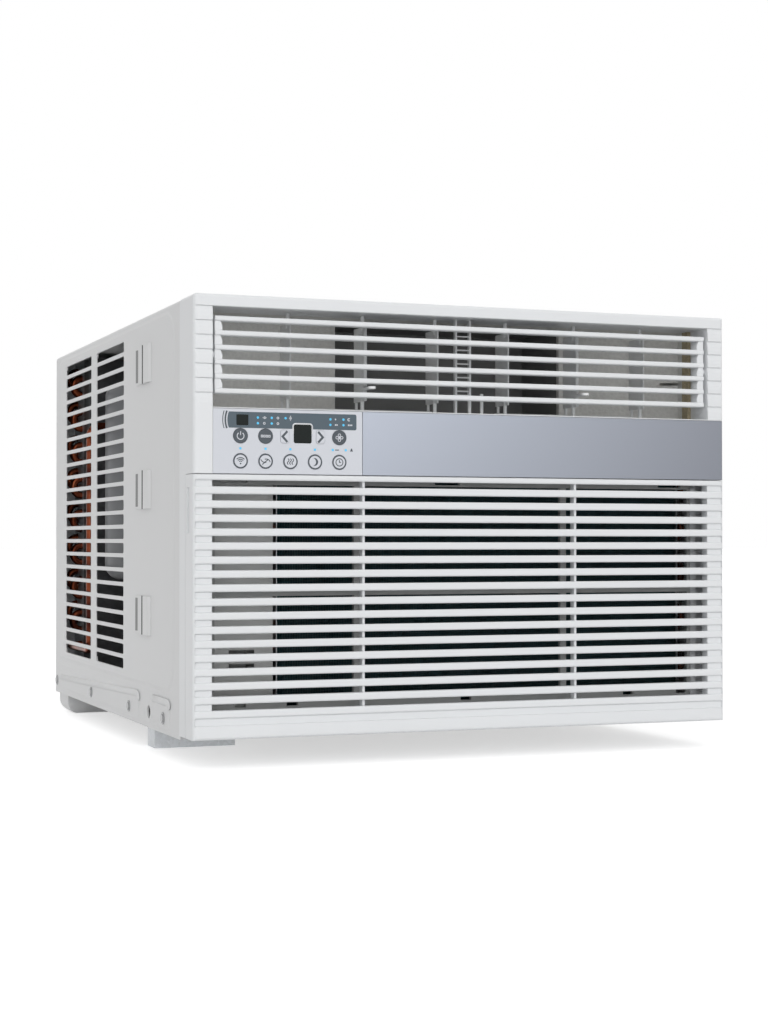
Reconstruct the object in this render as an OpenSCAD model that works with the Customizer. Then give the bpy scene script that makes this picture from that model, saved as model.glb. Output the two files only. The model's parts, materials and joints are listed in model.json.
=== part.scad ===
// Window air conditioner: a wrap-around steel cabinet on a base pan, a moulded
// front with a tilting louvre, a drop-down intake grille and a button panel.
// X runs across the front, Y from the room side to the outdoor side, Z up.
// The origin is on the sill plane, under the middle of the unit.

/* [Overall] */
// Width across the front bezel
body_w = 600; // [560:5:660]
// Height of the front bezel
body_h = 441; // [432:1:460]
// Depth from the bezel face to the back of the cabinet
body_d = 706; // [700:2:760]
// Height of the bezel's lower edge above the sill
foot_h = 30; // [24:1:40]

/* [Front bezel] */
// Depth of the moulded front, bezel face to cabinet edge
bezel_d = 52.5; // [50:0.5:60]
// Wall thickness of the moulded parts
mould_t = 2.5; // [2:0.1:3]
// Width of the stile at each side of the openings
stile_w = 20; // [16:1:24]
// Height of the band above the outlet
top_band_h = 12; // [8:1:16]
// Height of the air outlet
outlet_h = 100; // [96:1:110]
// Height of the control band
band_h = 66.5; // [64:0.5:72]
// Rounding of the bezel's upright front corners
corner_r = 5; // [4:0.5:6]
// Rounding of the bezel's top and bottom front edges
edge_r = 3; // [2:0.5:4]
// Number of ribs on each stile beside the outlet
stile_ribs = 7; // [5:1:9]
// Width of the parting gap between moulded parts
seam = 0.5; // [0.4:0.1:0.8]
// Depth by which each stile rib leans back
lap_depth = 1.2; // [0.6:0.1:1.6]

/* [Intake grille] */
// Depth of the grille's side walls
grille_d = 28; // [26:0.5:30]
// Pitch of the grille bars
bar_pitch = 13.84; // [13:0.1:15]
// Height of a grille bar at its face
bar_h = 7.6; // [7:0.1:8.4]
// Depth of a grille bar
bar_depth = 14; // [10:1:16]
// How far the stile fill lies behind the bar faces
fill_inset = 2.2; // [1.5:0.1:3]
// Height of the plain rail at the bottom of the grille
grille_foot_h = 14; // [12:1:18]
// Distance of the upright ribs from the middle
rib_x = 120; // [100:5:140]
// Radius of the grille's hinge pins
grille_pin_r = 2.2; // [2:0.1:2.4]

/* [Louvre and vanes] */
// Number of horizontal louvre bars
louvre_bars = 6; // [5:1:6]
// Pitch of the louvre bars
louvre_pitch = 14.4; // [14:0.1:15]
// Height of a louvre bar
louvre_bar_h = 5; // [4:0.2:6]
// Depth of a louvre bar
louvre_bar_d = 14; // [10:1:15]
// Radius of the louvre's pivot pins
louvre_pin_r = 2.5; // [2:0.1:3]
// Number of upright vanes in each linked group
group_vanes = 3; // [2:1:3]
// Pitch of the upright vanes
vane_pitch = 81.3; // [78:0.1:84]
// Thickness of a vane
vane_t = 1.8; // [1.4:0.1:2.4]
// Radius of the vane pivots
vane_pin_r = 2; // [1.8:0.1:2.4]
// Distance from a vane's pivot to its link pin
link_arm = 18; // [14:1:20]
// Radius of the link pins
link_pin_r = 1.5; // [1.2:0.1:1.8]

/* [Control panel] */
// Width of the button panel
panel_w = 157; // [150:1:165]
// Thickness of the button panel
panel_t = 3; // [2.6:0.1:3.4]
// Diameter of a round button
button_d = 15; // [13:0.5:16]
// Pitch of the button columns
button_pitch = 26; // [24:0.5:27]
// Height between the two button rows
button_rows = 25; // [24:0.5:27]
// Travel of a button
button_travel = 0.7; // [0.5:0.1:0.9]
// Gap round a button cap
button_gap = 0.25; // [0.2:0.05:0.4]
// How far the brushed trim lies behind the bezel face
trim_inset = 0.3; // [0.1:0.1:0.8]

/* [Cabinet] */
// Thickness of the cabinet sheet
sheet_t = 1.2; // [0.8:0.1:1.6]
// How far the cabinet side lies inside the bezel side
side_inset = 1.2; // [1:0.1:1.6]
// How far the pressed panel and the screw pads stand out of the cabinet side
press_rise = 1; // [0.6:0.1:1]
// Width of the slope round the pressed panel and the screw pads
press_slope = 4; // [2:0.5:5]
// Level under which the sides have no vent slots
vent_foot_z = 50; // [46:1:60]
// Pitch of the vent rows
vent_pitch = 16.33; // [15.5:0.1:16.5]
// Height of a vent slot
vent_h = 11.7; // [10:0.1:12.5]
// Length of a slot in the front column
vent_front_l = 146; // [120:2:150]
// Width of the web between the two columns of slots
vent_web = 30; // [24:1:36]
// Width of the flange round the open back
rear_flange = 24; // [18:1:26]
// Height of the curtain lugs on the sides
lug_h = 42; // [34:1:48]
// How far the curtain lugs stand out at their rear edge
lug_rise = 3; // [2:0.5:3.5]
// Diameter of the case screws' heads
screw_head_d = 13; // [11:0.5:14]
// Height of the case screws' heads
screw_head_h = 1.9; // [1.4:0.1:1.9]
// Radius of the case screws' shanks
screw_r = 2; // [1.8:0.1:2.4]
// Diameter of the open fixing hole in each side
side_hole_d = 14; // [10:1:16]
// Diameter of the top rail's screw holes
rail_hole_d = 4.2; // [3.5:0.1:5]

/* [Refrigeration] */
// Thickness of the evaporator
evap_t = 50; // [45:1:52]
// Thickness of the condenser
cond_t = 60; // [50:1:60]
// Pitch of the fins in both coils
fin_pitch = 8; // [6:1:12]
// Radius of the coil tubes
coil_r = 4.5; // [4:0.25:5]
// Radius of the compressor shell
comp_r = 72; // [65:1:73]
// Height of the compressor shell
comp_h = 295; // [250:5:310]
// Radius of the accumulator
accu_r = 38; // [32:1:39]

/* [Fans] */
// Radius of the blower wheel
wheel_r = 112; // [100:1:114]
// Number of blower blades
wheel_blades = 36; // [30:1:40]
// Radius of the outdoor fan to its slinger ring
fan_r = 184; // [170:1:186]
// Number of outdoor fan blades
fan_blades = 5; // [4:1:6]
// Radius of the fan shaft
shaft_r = 6; // [5:0.5:7]
// Running clearance of shafts and pins in their holes
run_gap = 0.08; // [0.04:0.01:0.1]

/* [Hidden] */
$fn = 48;
eps = 0.01;
// Margin by which a cutting tool runs past the face it cuts
over = 1;

// Levels up the front, from the bezel's lower edge
half_w = body_w / 2;
intake_h = body_h - top_band_h - outlet_h - band_h;
band_z = intake_h;
outlet_z = band_z + band_h;
outlet_top = outlet_z + outlet_h;
open_x = half_w - stile_w;

// Cabinet shell
cab_x = half_w - side_inset;
cab_in_x = cab_x - sheet_t;
cab_y = bezel_d + 0.4;
cab_in_top = body_h - sheet_t;
pan_drop = 4;
pan_floor = -pan_drop + sheet_t;
pan_side_h = 24;
pan_y = [cab_y + 6, body_d - 2 * sheet_t];
screw_z = 12;
screw_reach = 8;
screw_y = [119, 275, 476, body_d - 16];
hole_y = 186;
vent_top = body_h - 24.2;
vent_count = floor((vent_top - vent_h / 2 - vent_foot_z) / vent_pitch) + 1;
vent_y = [303, body_d - 72];
vent_r = 3;
press_y = [76, body_d - 8];
press_z = [40, body_h - 6];
press_r = 34;
face_x = cab_x + press_rise;
long_pad_y = [230, body_d - 6];
short_pad_y = [95, 171];
pad_z = [1, 33];
pad_r = 9;
lug_y = 173;
lug_l = 48;
lance_y = 226;
lance_l = 12;
slot_end_y = 252;
lug_z = [116, (116 + body_h - 53) / 2, body_h - 53];
rail_y = 110;
rail_x = [75 - half_w, -75, 75, half_w - 75];
bushing_y = 150;
bushing_z = 80;
bushing_neck_r = 9;

// Sump drawn in the pan under the outdoor coil, and the box foot at the front
sump_y = [body_d - 60, body_d - 4];
sump_x = cab_in_x - 3.6;
sump_r = 16;
foot_x = [15 - half_w, 106 - half_w];
foot_y = [215, 247];
foot_t = 1.5;

// Intake grille and its hinge
gap_h = bar_pitch - bar_h;
first_gap_z = intake_h - 9;
gap_count = floor((first_gap_z - grille_foot_h - 14) / bar_pitch) + 1;
hinge_y = 9;
hinge_z = 5;
hinge_lug_r = 4;
hinge_lug_x = [half_w - 15, half_w - 8];
grip_z = [intake_h - 58, intake_h - 13];

// Air filter
filter_y = grille_d + 0.8;
filter_t = 5;
filter_x = open_x - 3;
filter_z = 24;
filter_top = intake_h - 0.5;
filter_rail = 7;
filter_upright_x = rib_x - 2;
filter_mid_z = (filter_z + filter_top) / 2;
frame_y = filter_y + filter_t + 0.7;

// Louvre frame and vanes
louvre_y = 10;
louvre_z = outlet_z + outlet_h / 2 + 2.35;
louvre_half_h = (louvre_bars - 1) * louvre_pitch / 2;
louvre_x = open_x - 3;
cheek_w = 8;
vane_y = 36;
vane_front = 9;
vane_back = 24;
vane_x0 = -191;
vane_foot = 12;
vane_head = 11;
lever_z = louvre_z - louvre_half_h + louvre_pitch / 2 + 0.7;
link_z = outlet_z + 1.6;
link_t = 3;
link_w = 8;

// Control band
panel_x = -open_x + 0.3;
panel_y = 0.5;
band_wall_y = panel_y + panel_t;
cap_y = 0.1;
cap_t = 1.6;
stem_r = 2.5;
board_y = 10;
board_t = 1.6;
button_x0 = panel_x + 28.2;
button_z0 = band_z + 13.4;
window_w = 19;
window_h = 19;
window_x = button_x0 + 2.5 * button_pitch;
window_z = button_z0 + button_rows + 3;
strip_x = panel_x + 14.7;
strip_w = 136;
strip_h = 16;
strip_z = outlet_z - 20.3;
strip_t = 0.6;
trim_x = panel_x + panel_w + seam;
led_r = 1.2;

// Coils, blower and fan
coil_z = 24;
evap_x = [85 - open_x, open_x - 3];
evap_y = 62;
evap_top = outlet_z - 7;
fan_x = 45;
fan_z = 195;
cond_y = body_d - 6 - cond_t;
shroud_y = cond_y - 36;
fan_y = shroud_y - 29;
scroll_y = [118, 212];
scroll_t = 2.5;
scroll_top = body_h - 6;
throat_x = [fan_x - 158, fan_x + 109];
inlet_r = 88;
bulk_y = scroll_y[1];
motor_y = [bulk_y + 20, bulk_y + 118];
motor_r = 68;
cond_x = [22.6 - cab_in_x, cab_in_x - 19.6];
cond_top = body_h - 9;
comp_c = [162 - half_w, fan_y - 135];
comp_z = 20;
accu_c = [comp_c[0] - comp_r - accu_r - 4, comp_c[1]];
suction_z = body_h - 29;
accu_h = 238;
accu_z = [suction_z - 24 - accu_h, suction_z - 24];
accu_dome = 18;
accu_wall = 7;
comp_wall = 11;
pipe_r = 5;
pipe_bend = 12;
port_x = 20;
cond_low_z = 60;

// ---------------------------------------------------------------- helpers

// Puts a part drawn from the bezel's front lower edge into the unit's own frame
module unit() {
    translate([0, -body_d / 2, foot_h]) children();
}

// Block given by its two limits along each axis
module block(x, y, z) {
    translate([x[0], y[0], z[0]]) cube([x[1] - x[0], y[1] - y[0], z[1] - z[0]]);
}

// The same shape on the left and on the right
module both_sides() {
    children();
    mirror([1, 0, 0]) children();
}

// Outline in X and Z, carried along Y
module along_y(y) {
    translate([0, y[1], 0]) rotate([90, 0, 0]) linear_extrude(y[1] - y[0]) children();
}

// Outline in Y and Z, carried along X
module along_x(x) {
    translate([x[0], 0, 0]) rotate([90, 0, 90]) linear_extrude(x[1] - x[0]) children();
}

// Rods along the three axes
module rod_x(x, y, z, r) {
    translate([x[0], y, z]) rotate([0, 90, 0]) cylinder(h = x[1] - x[0], r = r);
}

module rod_y(x, y, z, r) {
    translate([x, y[0], z]) rotate([-90, 0, 0]) cylinder(h = y[1] - y[0], r = r);
}

module rod_z(x, y, z, r) {
    translate([x, y, z[0]]) cylinder(h = z[1] - z[0], r = r);
}

// Rectangle with round corners, from its lower left corner
module soft_rect(w, h, r) {
    translate([r, 0]) square([w - 2 * r, h]);
    translate([0, r]) square([w, h - 2 * r]);
    for (x = [r, w - r], y = [r, h - r]) translate([x, y]) circle(r, $fn = 24);
}

// Slot with round ends, centred, long way along X
module slot(l, r) {
    square([l - 2 * r, 2 * r], center = true);
    for (x = [-1, 1]) translate([x * (l / 2 - r), 0]) circle(r);
}

// Form that rounds the front edges of every part that makes up the face
module face_form() {
    intersection() {
        linear_extrude(body_h) difference() {
            translate([-half_w, 0]) square([body_w, bezel_d + 20]);
            for (s = [-1, 1]) translate([s * (half_w - corner_r), corner_r])
                difference() {
                    translate([s > 0 ? 0 : -corner_r - over, -corner_r - over])
                        square(corner_r + over);
                    circle(corner_r);
                }
        }
        along_x([-half_w - over, half_w + over]) difference() {
            square([bezel_d + 20, body_h]);
            for (s = [-1, 1])
                translate([edge_r, s > 0 ? body_h - edge_r : edge_r]) difference() {
                    translate([-edge_r - over, s > 0 ? 0 : -edge_r - over])
                        square(edge_r + over);
                    circle(edge_r);
                }
        }
        along_y([-over, bezel_d + over]) arch(body_w, body_h, 4);
    }
}

// Outline of a fin pack seen from above: a thin spine with fins on both faces
function comb(w, d, spine, t) =
    let (n = floor((w - t) / fin_pitch), pitch = (w - t) / n)
    concat(
        [for (i = [0:n]) let (x = i * pitch)
            each [[x, (d - spine) / 2], [x, 0], [x + t, 0], [x + t, (d - spine) / 2]]],
        [for (i = [n:-1:0]) let (x = i * pitch)
            each [[x + t, (d + spine) / 2], [x + t, d], [x, d], [x, (d + spine) / 2]]]);

// Half ring of tube joining two coil tubes, its ends facing +X
module return_bend(x, y, z, span, r) {
    translate([x, y, z]) rotate([90, 0, 0]) rotate([0, 0, 90])
        rotate_extrude(angle = 180) translate([span / 2, 0]) circle(r, $fn = 24);
}

function cross3(a, b) =
    [a[1] * b[2] - a[2] * b[1], a[2] * b[0] - a[0] * b[2], a[0] * b[1] - a[1] * b[0]];

// Straight tube between two points on a line along one axis
module tube_leg(a, b, r) {
    d = b - a;
    l = norm(d);
    turn = d[0] != 0 ? [0, sign(d[0]) * 90, 0] : d[1] != 0 ? [-sign(d[1]) * 90, 0, 0]
        : d[2] < 0 ? [180, 0, 0] : [0, 0, 0];
    translate(a) rotate(turn) cylinder(h = l, r = r, $fn = 24);
}

// Tube along a route of square corners, each corner a bend of radius R
module tube_run(route, r, R) {
    n = len(route);
    dirs = [for (i = [0:n - 2]) (route[i + 1] - route[i]) / norm(route[i + 1] - route[i])];
    for (i = [0:n - 2])
        tube_leg(route[i] + (i > 0 ? R : 0) * dirs[i],
                 route[i + 1] - (i < n - 2 ? R : 0) * dirs[i], r);
    for (i = [1:n - 2]) {
        a = dirs[i - 1];
        b = dirs[i];
        c = route[i] - R * a + R * b;
        k = cross3(-b, a);
        multmatrix([[-b[0], a[0], k[0], c[0]], [-b[1], a[1], k[1], c[1]],
                    [-b[2], a[2], k[2], c[2]], [0, 0, 0, 1]])
            rotate_extrude(angle = 90) translate([R, 0]) circle(r, $fn = 24);
    }
}

// ---------------------------------------------------------------- base and cabinet

// Centres of the fixing holes low in each side
module low_side_holes(r) {
    both_sides() for (y = screw_y)
        rod_x([cab_in_x - 2 * sheet_t, face_x + over], y, screw_z, r);
    both_sides() rod_x([cab_in_x - 2 * sheet_t, face_x + over], hole_y, screw_z + 1,
        side_hole_d / 2);
}

// Trough drawn down to the sill across the rear, smaller all round by the inset
module sump(inset, top) {
    r = sump_r - inset;
    intersection() {
        along_y(sump_y + [inset, -inset]) translate([inset - sump_x, inset - foot_h])
            soft_rect(2 * (sump_x - inset), foot_h + 2 * sump_r, r);
        along_x([inset - sump_x, sump_x - inset]) translate([sump_y[0] + inset, inset - foot_h])
            soft_rect(sump_y[1] - sump_y[0] - 2 * inset, foot_h + 2 * sump_r, r);
        block([-sump_x, sump_x], sump_y, [-foot_h, top]);
    }
}

// Folded steel tray with the drawn sump under the outdoor coil
module base_pan() {
    color("#b4b7ba") unit() difference() {
        union() {
            block([-cab_in_x, cab_in_x], pan_y, [-pan_drop, pan_floor]);
            both_sides()
                block([cab_in_x - sheet_t, cab_in_x], pan_y, [-pan_drop, pan_side_h]);
            for (y = [pan_y[0], pan_y[1] - sheet_t])
                block([-cab_in_x, cab_in_x], [y, y + sheet_t], [-pan_drop, pan_side_h - 6]);
            sump(0, eps - pan_drop);
            for (x = [20, 120, 220])
                along_y([bulk_y + 28, sump_y[0] - 106]) translate([x, pan_floor - eps])
                intersection() {
                    circle(4);
                    translate([-5, 0]) square([10, 5]);
                }
        }
        sump(sheet_t, pan_floor + over);
        low_side_holes(screw_r + 0.2);
    }
}

// Pressed box foot under the front of the pan
module sill_foot() {
    color("#c6cbd0") unit() {
        difference() {
            block(foot_x, foot_y, [-foot_h, -pan_drop]);
            block([foot_x[0] + foot_t, foot_x[1] - foot_t],
                  [foot_y[0] + foot_t, foot_y[1] - foot_t],
                  [-foot_h + foot_t, over]);
        }
        block([foot_x[0] - 8, foot_x[0] + eps], [foot_y[0] + 4, foot_y[1] - 4],
              [-pan_drop - foot_t, -pan_drop]);
    }
}

// Cabinet outline seen from the front, open at the bottom
module arch(w, h, r) {
    translate([-w / 2, 0]) square([w, h - r]);
    translate([r - w / 2, 0]) square([w - 2 * r, h]);
    for (s = [-1, 1]) translate([s * (w / 2 - r), h - r]) circle(r);
}

module vent_slots() {
    rear_y = vent_y[0] + vent_front_l + vent_web;
    along_x([-face_x - over, face_x + over]) for (i = [0:vent_count - 1])
        translate([0, vent_top - i * vent_pitch - vent_h / 2]) {
            translate([vent_y[0], 0]) soft_rect(vent_front_l, vent_h, vent_r);
            translate([rear_y, 0]) soft_rect(vent_y[1] - rear_y, vent_h, vent_r);
        }
}

// Raised field of a side sheet, with round corners and a slope all round
module pressed_field(y, z, r) {
    x = [cab_x - eps, face_x];
    along_y([y[0] + r, y[1] - r]) polygon([
        [x[0], z[0]], [x[0], z[1]], [x[1], z[1] - press_slope], [x[1], z[0] + press_slope]]);
    translate([0, 0, z[0] + r]) linear_extrude(z[1] - z[0] - 2 * r) polygon([
        [x[0], y[0]], [x[0], y[1]], [x[1], y[1] - press_slope], [x[1], y[0] + press_slope]]);
    for (cy = [y[0] + r, y[1] - r], cz = [z[0] + r, z[1] - r])
        translate([x[0], cy, cz]) rotate([0, 90, 0])
            cylinder(h = x[1] - x[0], r1 = r, r2 = r - press_slope);
}

// Flap lanced out of the side sheet: it leaves the sheet at its front and rises to the rear
module lanced_flap(y, l, z, rise) {
    translate([0, 0, z - lug_h / 2]) linear_extrude(lug_h)
        polygon([[face_x - sheet_t, y - 1], [face_x, y - 1], [face_x, y],
                 [face_x + rise, y + l], [face_x + rise - sheet_t, y + l],
                 [face_x - sheet_t, y]]);
}

// What the lancing leaves open behind the flaps
module lanced_windows() {
    for (z = lug_z, y = [[lug_y, lug_y + lug_l + 1], [lance_y, slot_end_y]])
        block([cab_in_x - over, face_x + over], y, z + [-lug_h / 2 - 0.5, lug_h / 2 + 0.5]);
}

module cabinet() {
    color("#c9cacc") unit() {
        difference() {
            union() {
                difference() {
                    along_y([cab_y, body_d]) translate([0, -pan_drop])
                        arch(2 * cab_x, body_h + pan_drop, 4);
                    along_y([cab_y - over, body_d - sheet_t]) translate([0, -pan_drop - over])
                        arch(2 * cab_in_x, cab_in_top + pan_drop + over, 3);
                    along_y([body_d - 2 * sheet_t, body_d + over]) translate([0, -pan_drop - over])
                        arch(2 * (cab_in_x - rear_flange), cab_in_top + pan_drop + over - 12, 3);
                }
                both_sides() {
                    pressed_field(press_y, press_z, press_r);
                    pressed_field(long_pad_y, pad_z, pad_r);
                    pressed_field(short_pad_y, pad_z, pad_r);
                }
            }
            both_sides() {
                // The pressed panel is hollow behind
                block([cab_in_x - over, cab_in_x + press_rise],
                      press_y + [press_r / 2, -press_r / 2], press_z + [press_r / 2, -press_r / 2]);
                lanced_windows();
            }
            vent_slots();
            low_side_holes(screw_r + 0.2);
            for (x = rail_x) rod_z(x, rail_y, [cab_in_top - over, body_h + over], rail_hole_d / 2);
            rod_x([0, face_x + over], bushing_y, bushing_z, bushing_neck_r + 0.2);
        }
        both_sides() for (z = lug_z) {
            lanced_flap(lug_y, lug_l, z, lug_rise);
            lanced_flap(lance_y, lance_l, z, lug_rise / 2);
        }
    }
}

// Hex washer-head screws that hold the cabinet to the pan
module case_screws() {
    color("#9fa3a8") unit() both_sides() for (y = screw_y) {
        rod_x([cab_in_x - screw_reach, face_x + eps], y, screw_z, screw_r);
        rod_x([face_x, face_x + 0.8], y, screw_z, screw_head_d / 2);
        translate([face_x, y, screw_z]) rotate([0, 90, 0])
            cylinder(h = screw_head_h, r = 4.6, $fn = 6);
    }
}

// Rubber bush where the supply lead leaves the cabinet
module cord_bushing() {
    neck = bushing_neck_r;
    color("#26282b") unit() translate([face_x - sheet_t, bushing_y, bushing_z])
        rotate([0, 90, 0]) rotate_extrude() polygon([
            [5, -2], [neck + 3, -2], [neck + 3, 0], [neck, 0], [neck, sheet_t],
            [neck + 3, sheet_t], [neck + 2, sheet_t + 1.5], [5, sheet_t + 1.5]]);
}

// ---------------------------------------------------------------- front bezel

// Walls of the moulded front before its edges are rounded
module bezel_walls() {
    block([-half_w, half_w], [0, bezel_d], [body_h - mould_t, body_h]);
    block([-half_w, half_w], [grille_d + 3, bezel_d], [0, mould_t]);
    both_sides() {
        block([half_w - mould_t, half_w], [0, bezel_d], [band_z + seam, body_h]);
        block([half_w - mould_t, half_w], [grille_d + seam, bezel_d], [0, band_z + over]);
        block([open_x, half_w], [0, mould_t], [band_z + seam, body_h]);
        block([open_x, open_x + mould_t], [0, bezel_d], [outlet_z - mould_t, body_h]);
    }
    block([-half_w, half_w], [0, mould_t], [outlet_top, body_h]);
    for (z = [outlet_top, outlet_z - mould_t])
        block([-open_x - over, open_x + over], [band_wall_y, bezel_d], [z, z + mould_t]);
    block([-open_x, open_x], [0, bezel_d], [outlet_z - 1, outlet_z]);
    block([-half_w, half_w], [band_wall_y, band_wall_y + mould_t],
          [band_z + seam, outlet_z]);
    block([-half_w, half_w], [band_wall_y, filter_y - 2],
          [band_z + seam, band_z + seam + mould_t]);
}

// Frame behind the grille, with the channels that the filter slides in
module bezel_lower_frame() {
    difference() {
        block([-half_w + over, half_w - over], [frame_y, frame_y + mould_t],
              [0, band_z + 3]);
        block([-open_x - over, open_x + over], [frame_y - over, frame_y + mould_t + over],
              [filter_z - 2, band_z - 4]);
    }
    both_sides() {
        block([filter_x + 0.5, filter_x + 3], [filter_y - 2.2, frame_y + eps],
              [filter_z - 2.3, band_z + 3]);
        block([filter_x - 4, filter_x + 3], [filter_y - 2.2, filter_y - 0.7],
              [filter_z - 2.3, band_z - 8]);
    }
    block([-filter_x, filter_x], [filter_y - 2.2, frame_y + eps],
          [filter_z - 2.3, filter_z - 0.3]);
}

// Lugs that carry the grille's hinge pins
module hinge_lugs() {
    both_sides() {
        block(hinge_lug_x, [hinge_y, frame_y + eps],
              [hinge_z - hinge_lug_r, hinge_z + hinge_lug_r]);
        rod_x(hinge_lug_x, hinge_y, hinge_z, hinge_lug_r);
    }
}

// Tongues that reach inside the cabinet's front edge
tongue_l = 7;

module bezel_tongues() {
    both_sides() for (z = [60, body_h / 2, body_h - 60])
        block([cab_in_x - 3.5, cab_in_x - 0.3], [bezel_d - 6, bezel_d + tongue_l], [z - 15, z + 15]);
    both_sides() for (z = [60, body_h / 2, body_h - 60])
        block([cab_in_x - 3.5, half_w - over], [bezel_d - 6, bezel_d - 3], [z - 15, z + 15]);
    for (x = [-180, 0, 180])
        block([x - 15, x + 15], [bezel_d - 6, bezel_d + tongue_l], [cab_in_top - 3, cab_in_top - 0.3]);
}

// Cuts that lay the stiles beside the outlet in ribs, each leaning back towards its top
module stile_laps() {
    step = outlet_h / stile_ribs;
    both_sides() for (i = [1:stile_ribs])
        along_x([open_x - eps, half_w + over]) translate([0, outlet_z + i * step])
            polygon([[-over, -0.7 * step], [0, -0.7 * step], [0.3, -0.4 * step],
                     [lap_depth, -0.6], [lap_depth, 0], [-over, 0]]);
}

module front_bezel() {
    color("#e8eaee") unit() difference() {
        union() {
            intersection() {
                bezel_walls();
                face_form();
            }
            bezel_lower_frame();
            hinge_lugs();
            bezel_tongues();
            board_posts();
        }
        block([-open_x, half_w + over], [-over, band_wall_y], [band_z, outlet_z - 1]);
        stile_laps();
        both_sides() {
            rod_x([open_x - over, open_x + mould_t + over], louvre_y, louvre_z,
                  louvre_pin_r + run_gap);
            rod_x([hinge_lug_x[0] - over, hinge_lug_x[1] + over], hinge_y, hinge_z,
                  grille_pin_r + run_gap);
        }
        for (x = vane_xs) rod_z(x, vane_y, [outlet_z - mould_t - over, outlet_top + mould_t + over],
            vane_pin_r + run_gap);
        for (b = BUTTONS) rod_y(b[0], [band_wall_y - over, band_wall_y + mould_t + over],
            b[1], stem_r + button_gap);
        led_rods([band_wall_y - over, band_wall_y + mould_t + over], led_r + 0.4);
        block([window_x - 7, window_x + 7], [band_wall_y - over, band_wall_y + mould_t + over],
              [window_z - 7, window_z + 7]);
    }
}

// ---------------------------------------------------------------- control panel

// Centres of the ten buttons, in the order of their nodes
BUTTONS = [
    for (b = [[0, 1], [1, 1]]) [button_x0 + b[0] * button_pitch, button_z0 + button_rows],
    for (s = [-1, 1]) [window_x + s * 18.8, button_z0 + button_rows],
    [button_x0 + 4 * button_pitch, button_z0 + button_rows],
    for (i = [0:4]) [button_x0 + i * button_pitch, button_z0]
];
DOWN = 2;
UP = 3;

// Centres of the status lamps: two groups on the strip, and one row under it
LAMPS = [
    for (i = [0:1], j = [0:1]) [strip_x + 31.5 + i * 14.5, strip_z + 5 + j * 5.6],
    [strip_x + 60.5, strip_z + 10.6],
    for (i = [0:1], j = [0:1]) [strip_x + 108 + i * 14, strip_z + 5 + j * 5.6],
    for (i = [0:3]) [button_x0 + i * button_pitch, button_z0 + 12.4],
    for (s = [-1, 1]) [button_x0 + 4 * button_pitch + s * 7, button_z0 + 12.4]
];

module led_rods(y, r) {
    for (p = LAMPS) rod_y(p[0], y, p[1], r, $fn = 20);
}

// Outline of a button cap: round, or a narrow key for the two arrows
module cap_outline(i, grow) {
    if (i == DOWN || i == UP)
        translate([-4.5 - grow, -6.5 - grow])
            soft_rect(9 + 2 * grow, 13 + 2 * grow, 2.5 + grow);
    else circle(button_d / 2 + grow);
}

// Button number i: its cap in the panel and the stem that reaches the switch
module button(i) {
    color(i == 0 || i == 1 || i == 4 ? "#4b5661" : "#dfe2e8") unit()
        translate([BUTTONS[i][0], 0, BUTTONS[i][1]]) {
            along_y([cap_y, cap_y + cap_t]) cap_outline(i, 0);
            rod_y(0, [cap_y + cap_t - eps, board_y - button_travel - 0.1], 0, stem_r);
        }
}

// Rounded surround of the digit window, which cuts into the strip
module window_outline(grow) {
    translate([window_x - window_w / 2 - grow, window_z - window_h / 2 - grow])
        soft_rect(window_w + 2 * grow, window_h + 2 * grow, 2 + grow);
}

module strip_outline() {
    difference() {
        union() {
            translate([strip_x + strip_h, strip_z]) square([strip_w - strip_h - 1, strip_h]);
            translate([strip_x + strip_w - 20, strip_z]) soft_rect(20, strip_h, 2);
            translate([strip_x, strip_z]) intersection() {
                translate([22, strip_h / 2]) circle(22);
                square([strip_h + 1, strip_h]);
            }
        }
        window_outline(1.4);
    }
}

module receiver_outline() {
    translate([strip_x + 9.3, strip_z + 2.6]) soft_rect(12.4, 10.8, 1);
}

module control_panel() {
    color("#d6d8e0") unit() difference() {
        along_y([panel_y, band_wall_y]) translate([panel_x, band_z + seam + 0.3])
            square([panel_w, outlet_z - 1.3 - band_z - seam - 0.3]);
        along_y([panel_y - over, panel_y + strip_t]) strip_outline();
        along_y([panel_y - over, panel_y + 1.2]) window_outline(0);
        along_y([panel_y - over, panel_y + strip_t + 1]) receiver_outline();
        for (i = [0:len(BUTTONS) - 1]) translate([BUTTONS[i][0], 0, BUTTONS[i][1]])
            along_y([-over, band_wall_y + over]) cap_outline(i, button_gap);
        led_rods([-over, band_wall_y + over], led_r + 0.1);
    }
}

// Dark inlay that carries the mode and speed lamps
module indicator_strip() {
    color("#47555f") unit() difference() {
        along_y([panel_y, panel_y + strip_t]) strip_outline();
        along_y([-over, panel_y + 2]) receiver_outline();
        led_rods([-over, band_wall_y], led_r + 0.1);
    }
}

module digit_window() {
    color("#1d2423") unit() along_y([panel_y, panel_y + 1.2]) window_outline(-0.1);
}

module receiver_window() {
    color("#1b1d1f") unit() along_y([panel_y, panel_y + strip_t + 1])
        translate([strip_x + 9.4, strip_z + 2.7]) soft_rect(12.2, 10.6, 1);
}

module status_leds() {
    color("#35b8e8") unit() led_rods([panel_y - 0.1, board_y], led_r);
}

// Brushed plate across the rest of the band
module silver_trim() {
    color("#b1b5be") unit() intersection() {
        block([trim_x, half_w], [trim_inset, band_wall_y],
              [band_z + seam + 0.3, outlet_z - 1.3]);
        face_form();
    }
}

// Posts on the back of the band that carry the display board
board_x = [panel_x + 4, panel_x + panel_w - 4];
board_z = [band_z + 6, outlet_z - 5];

module board_posts() {
    for (x = [board_x[0] + 4, board_x[1] - 4], z = [board_z[0] + 2.6, board_z[1] - 2.6])
        rod_y(x, [band_wall_y + mould_t - eps, board_y], z, 2.5);
}

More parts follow.
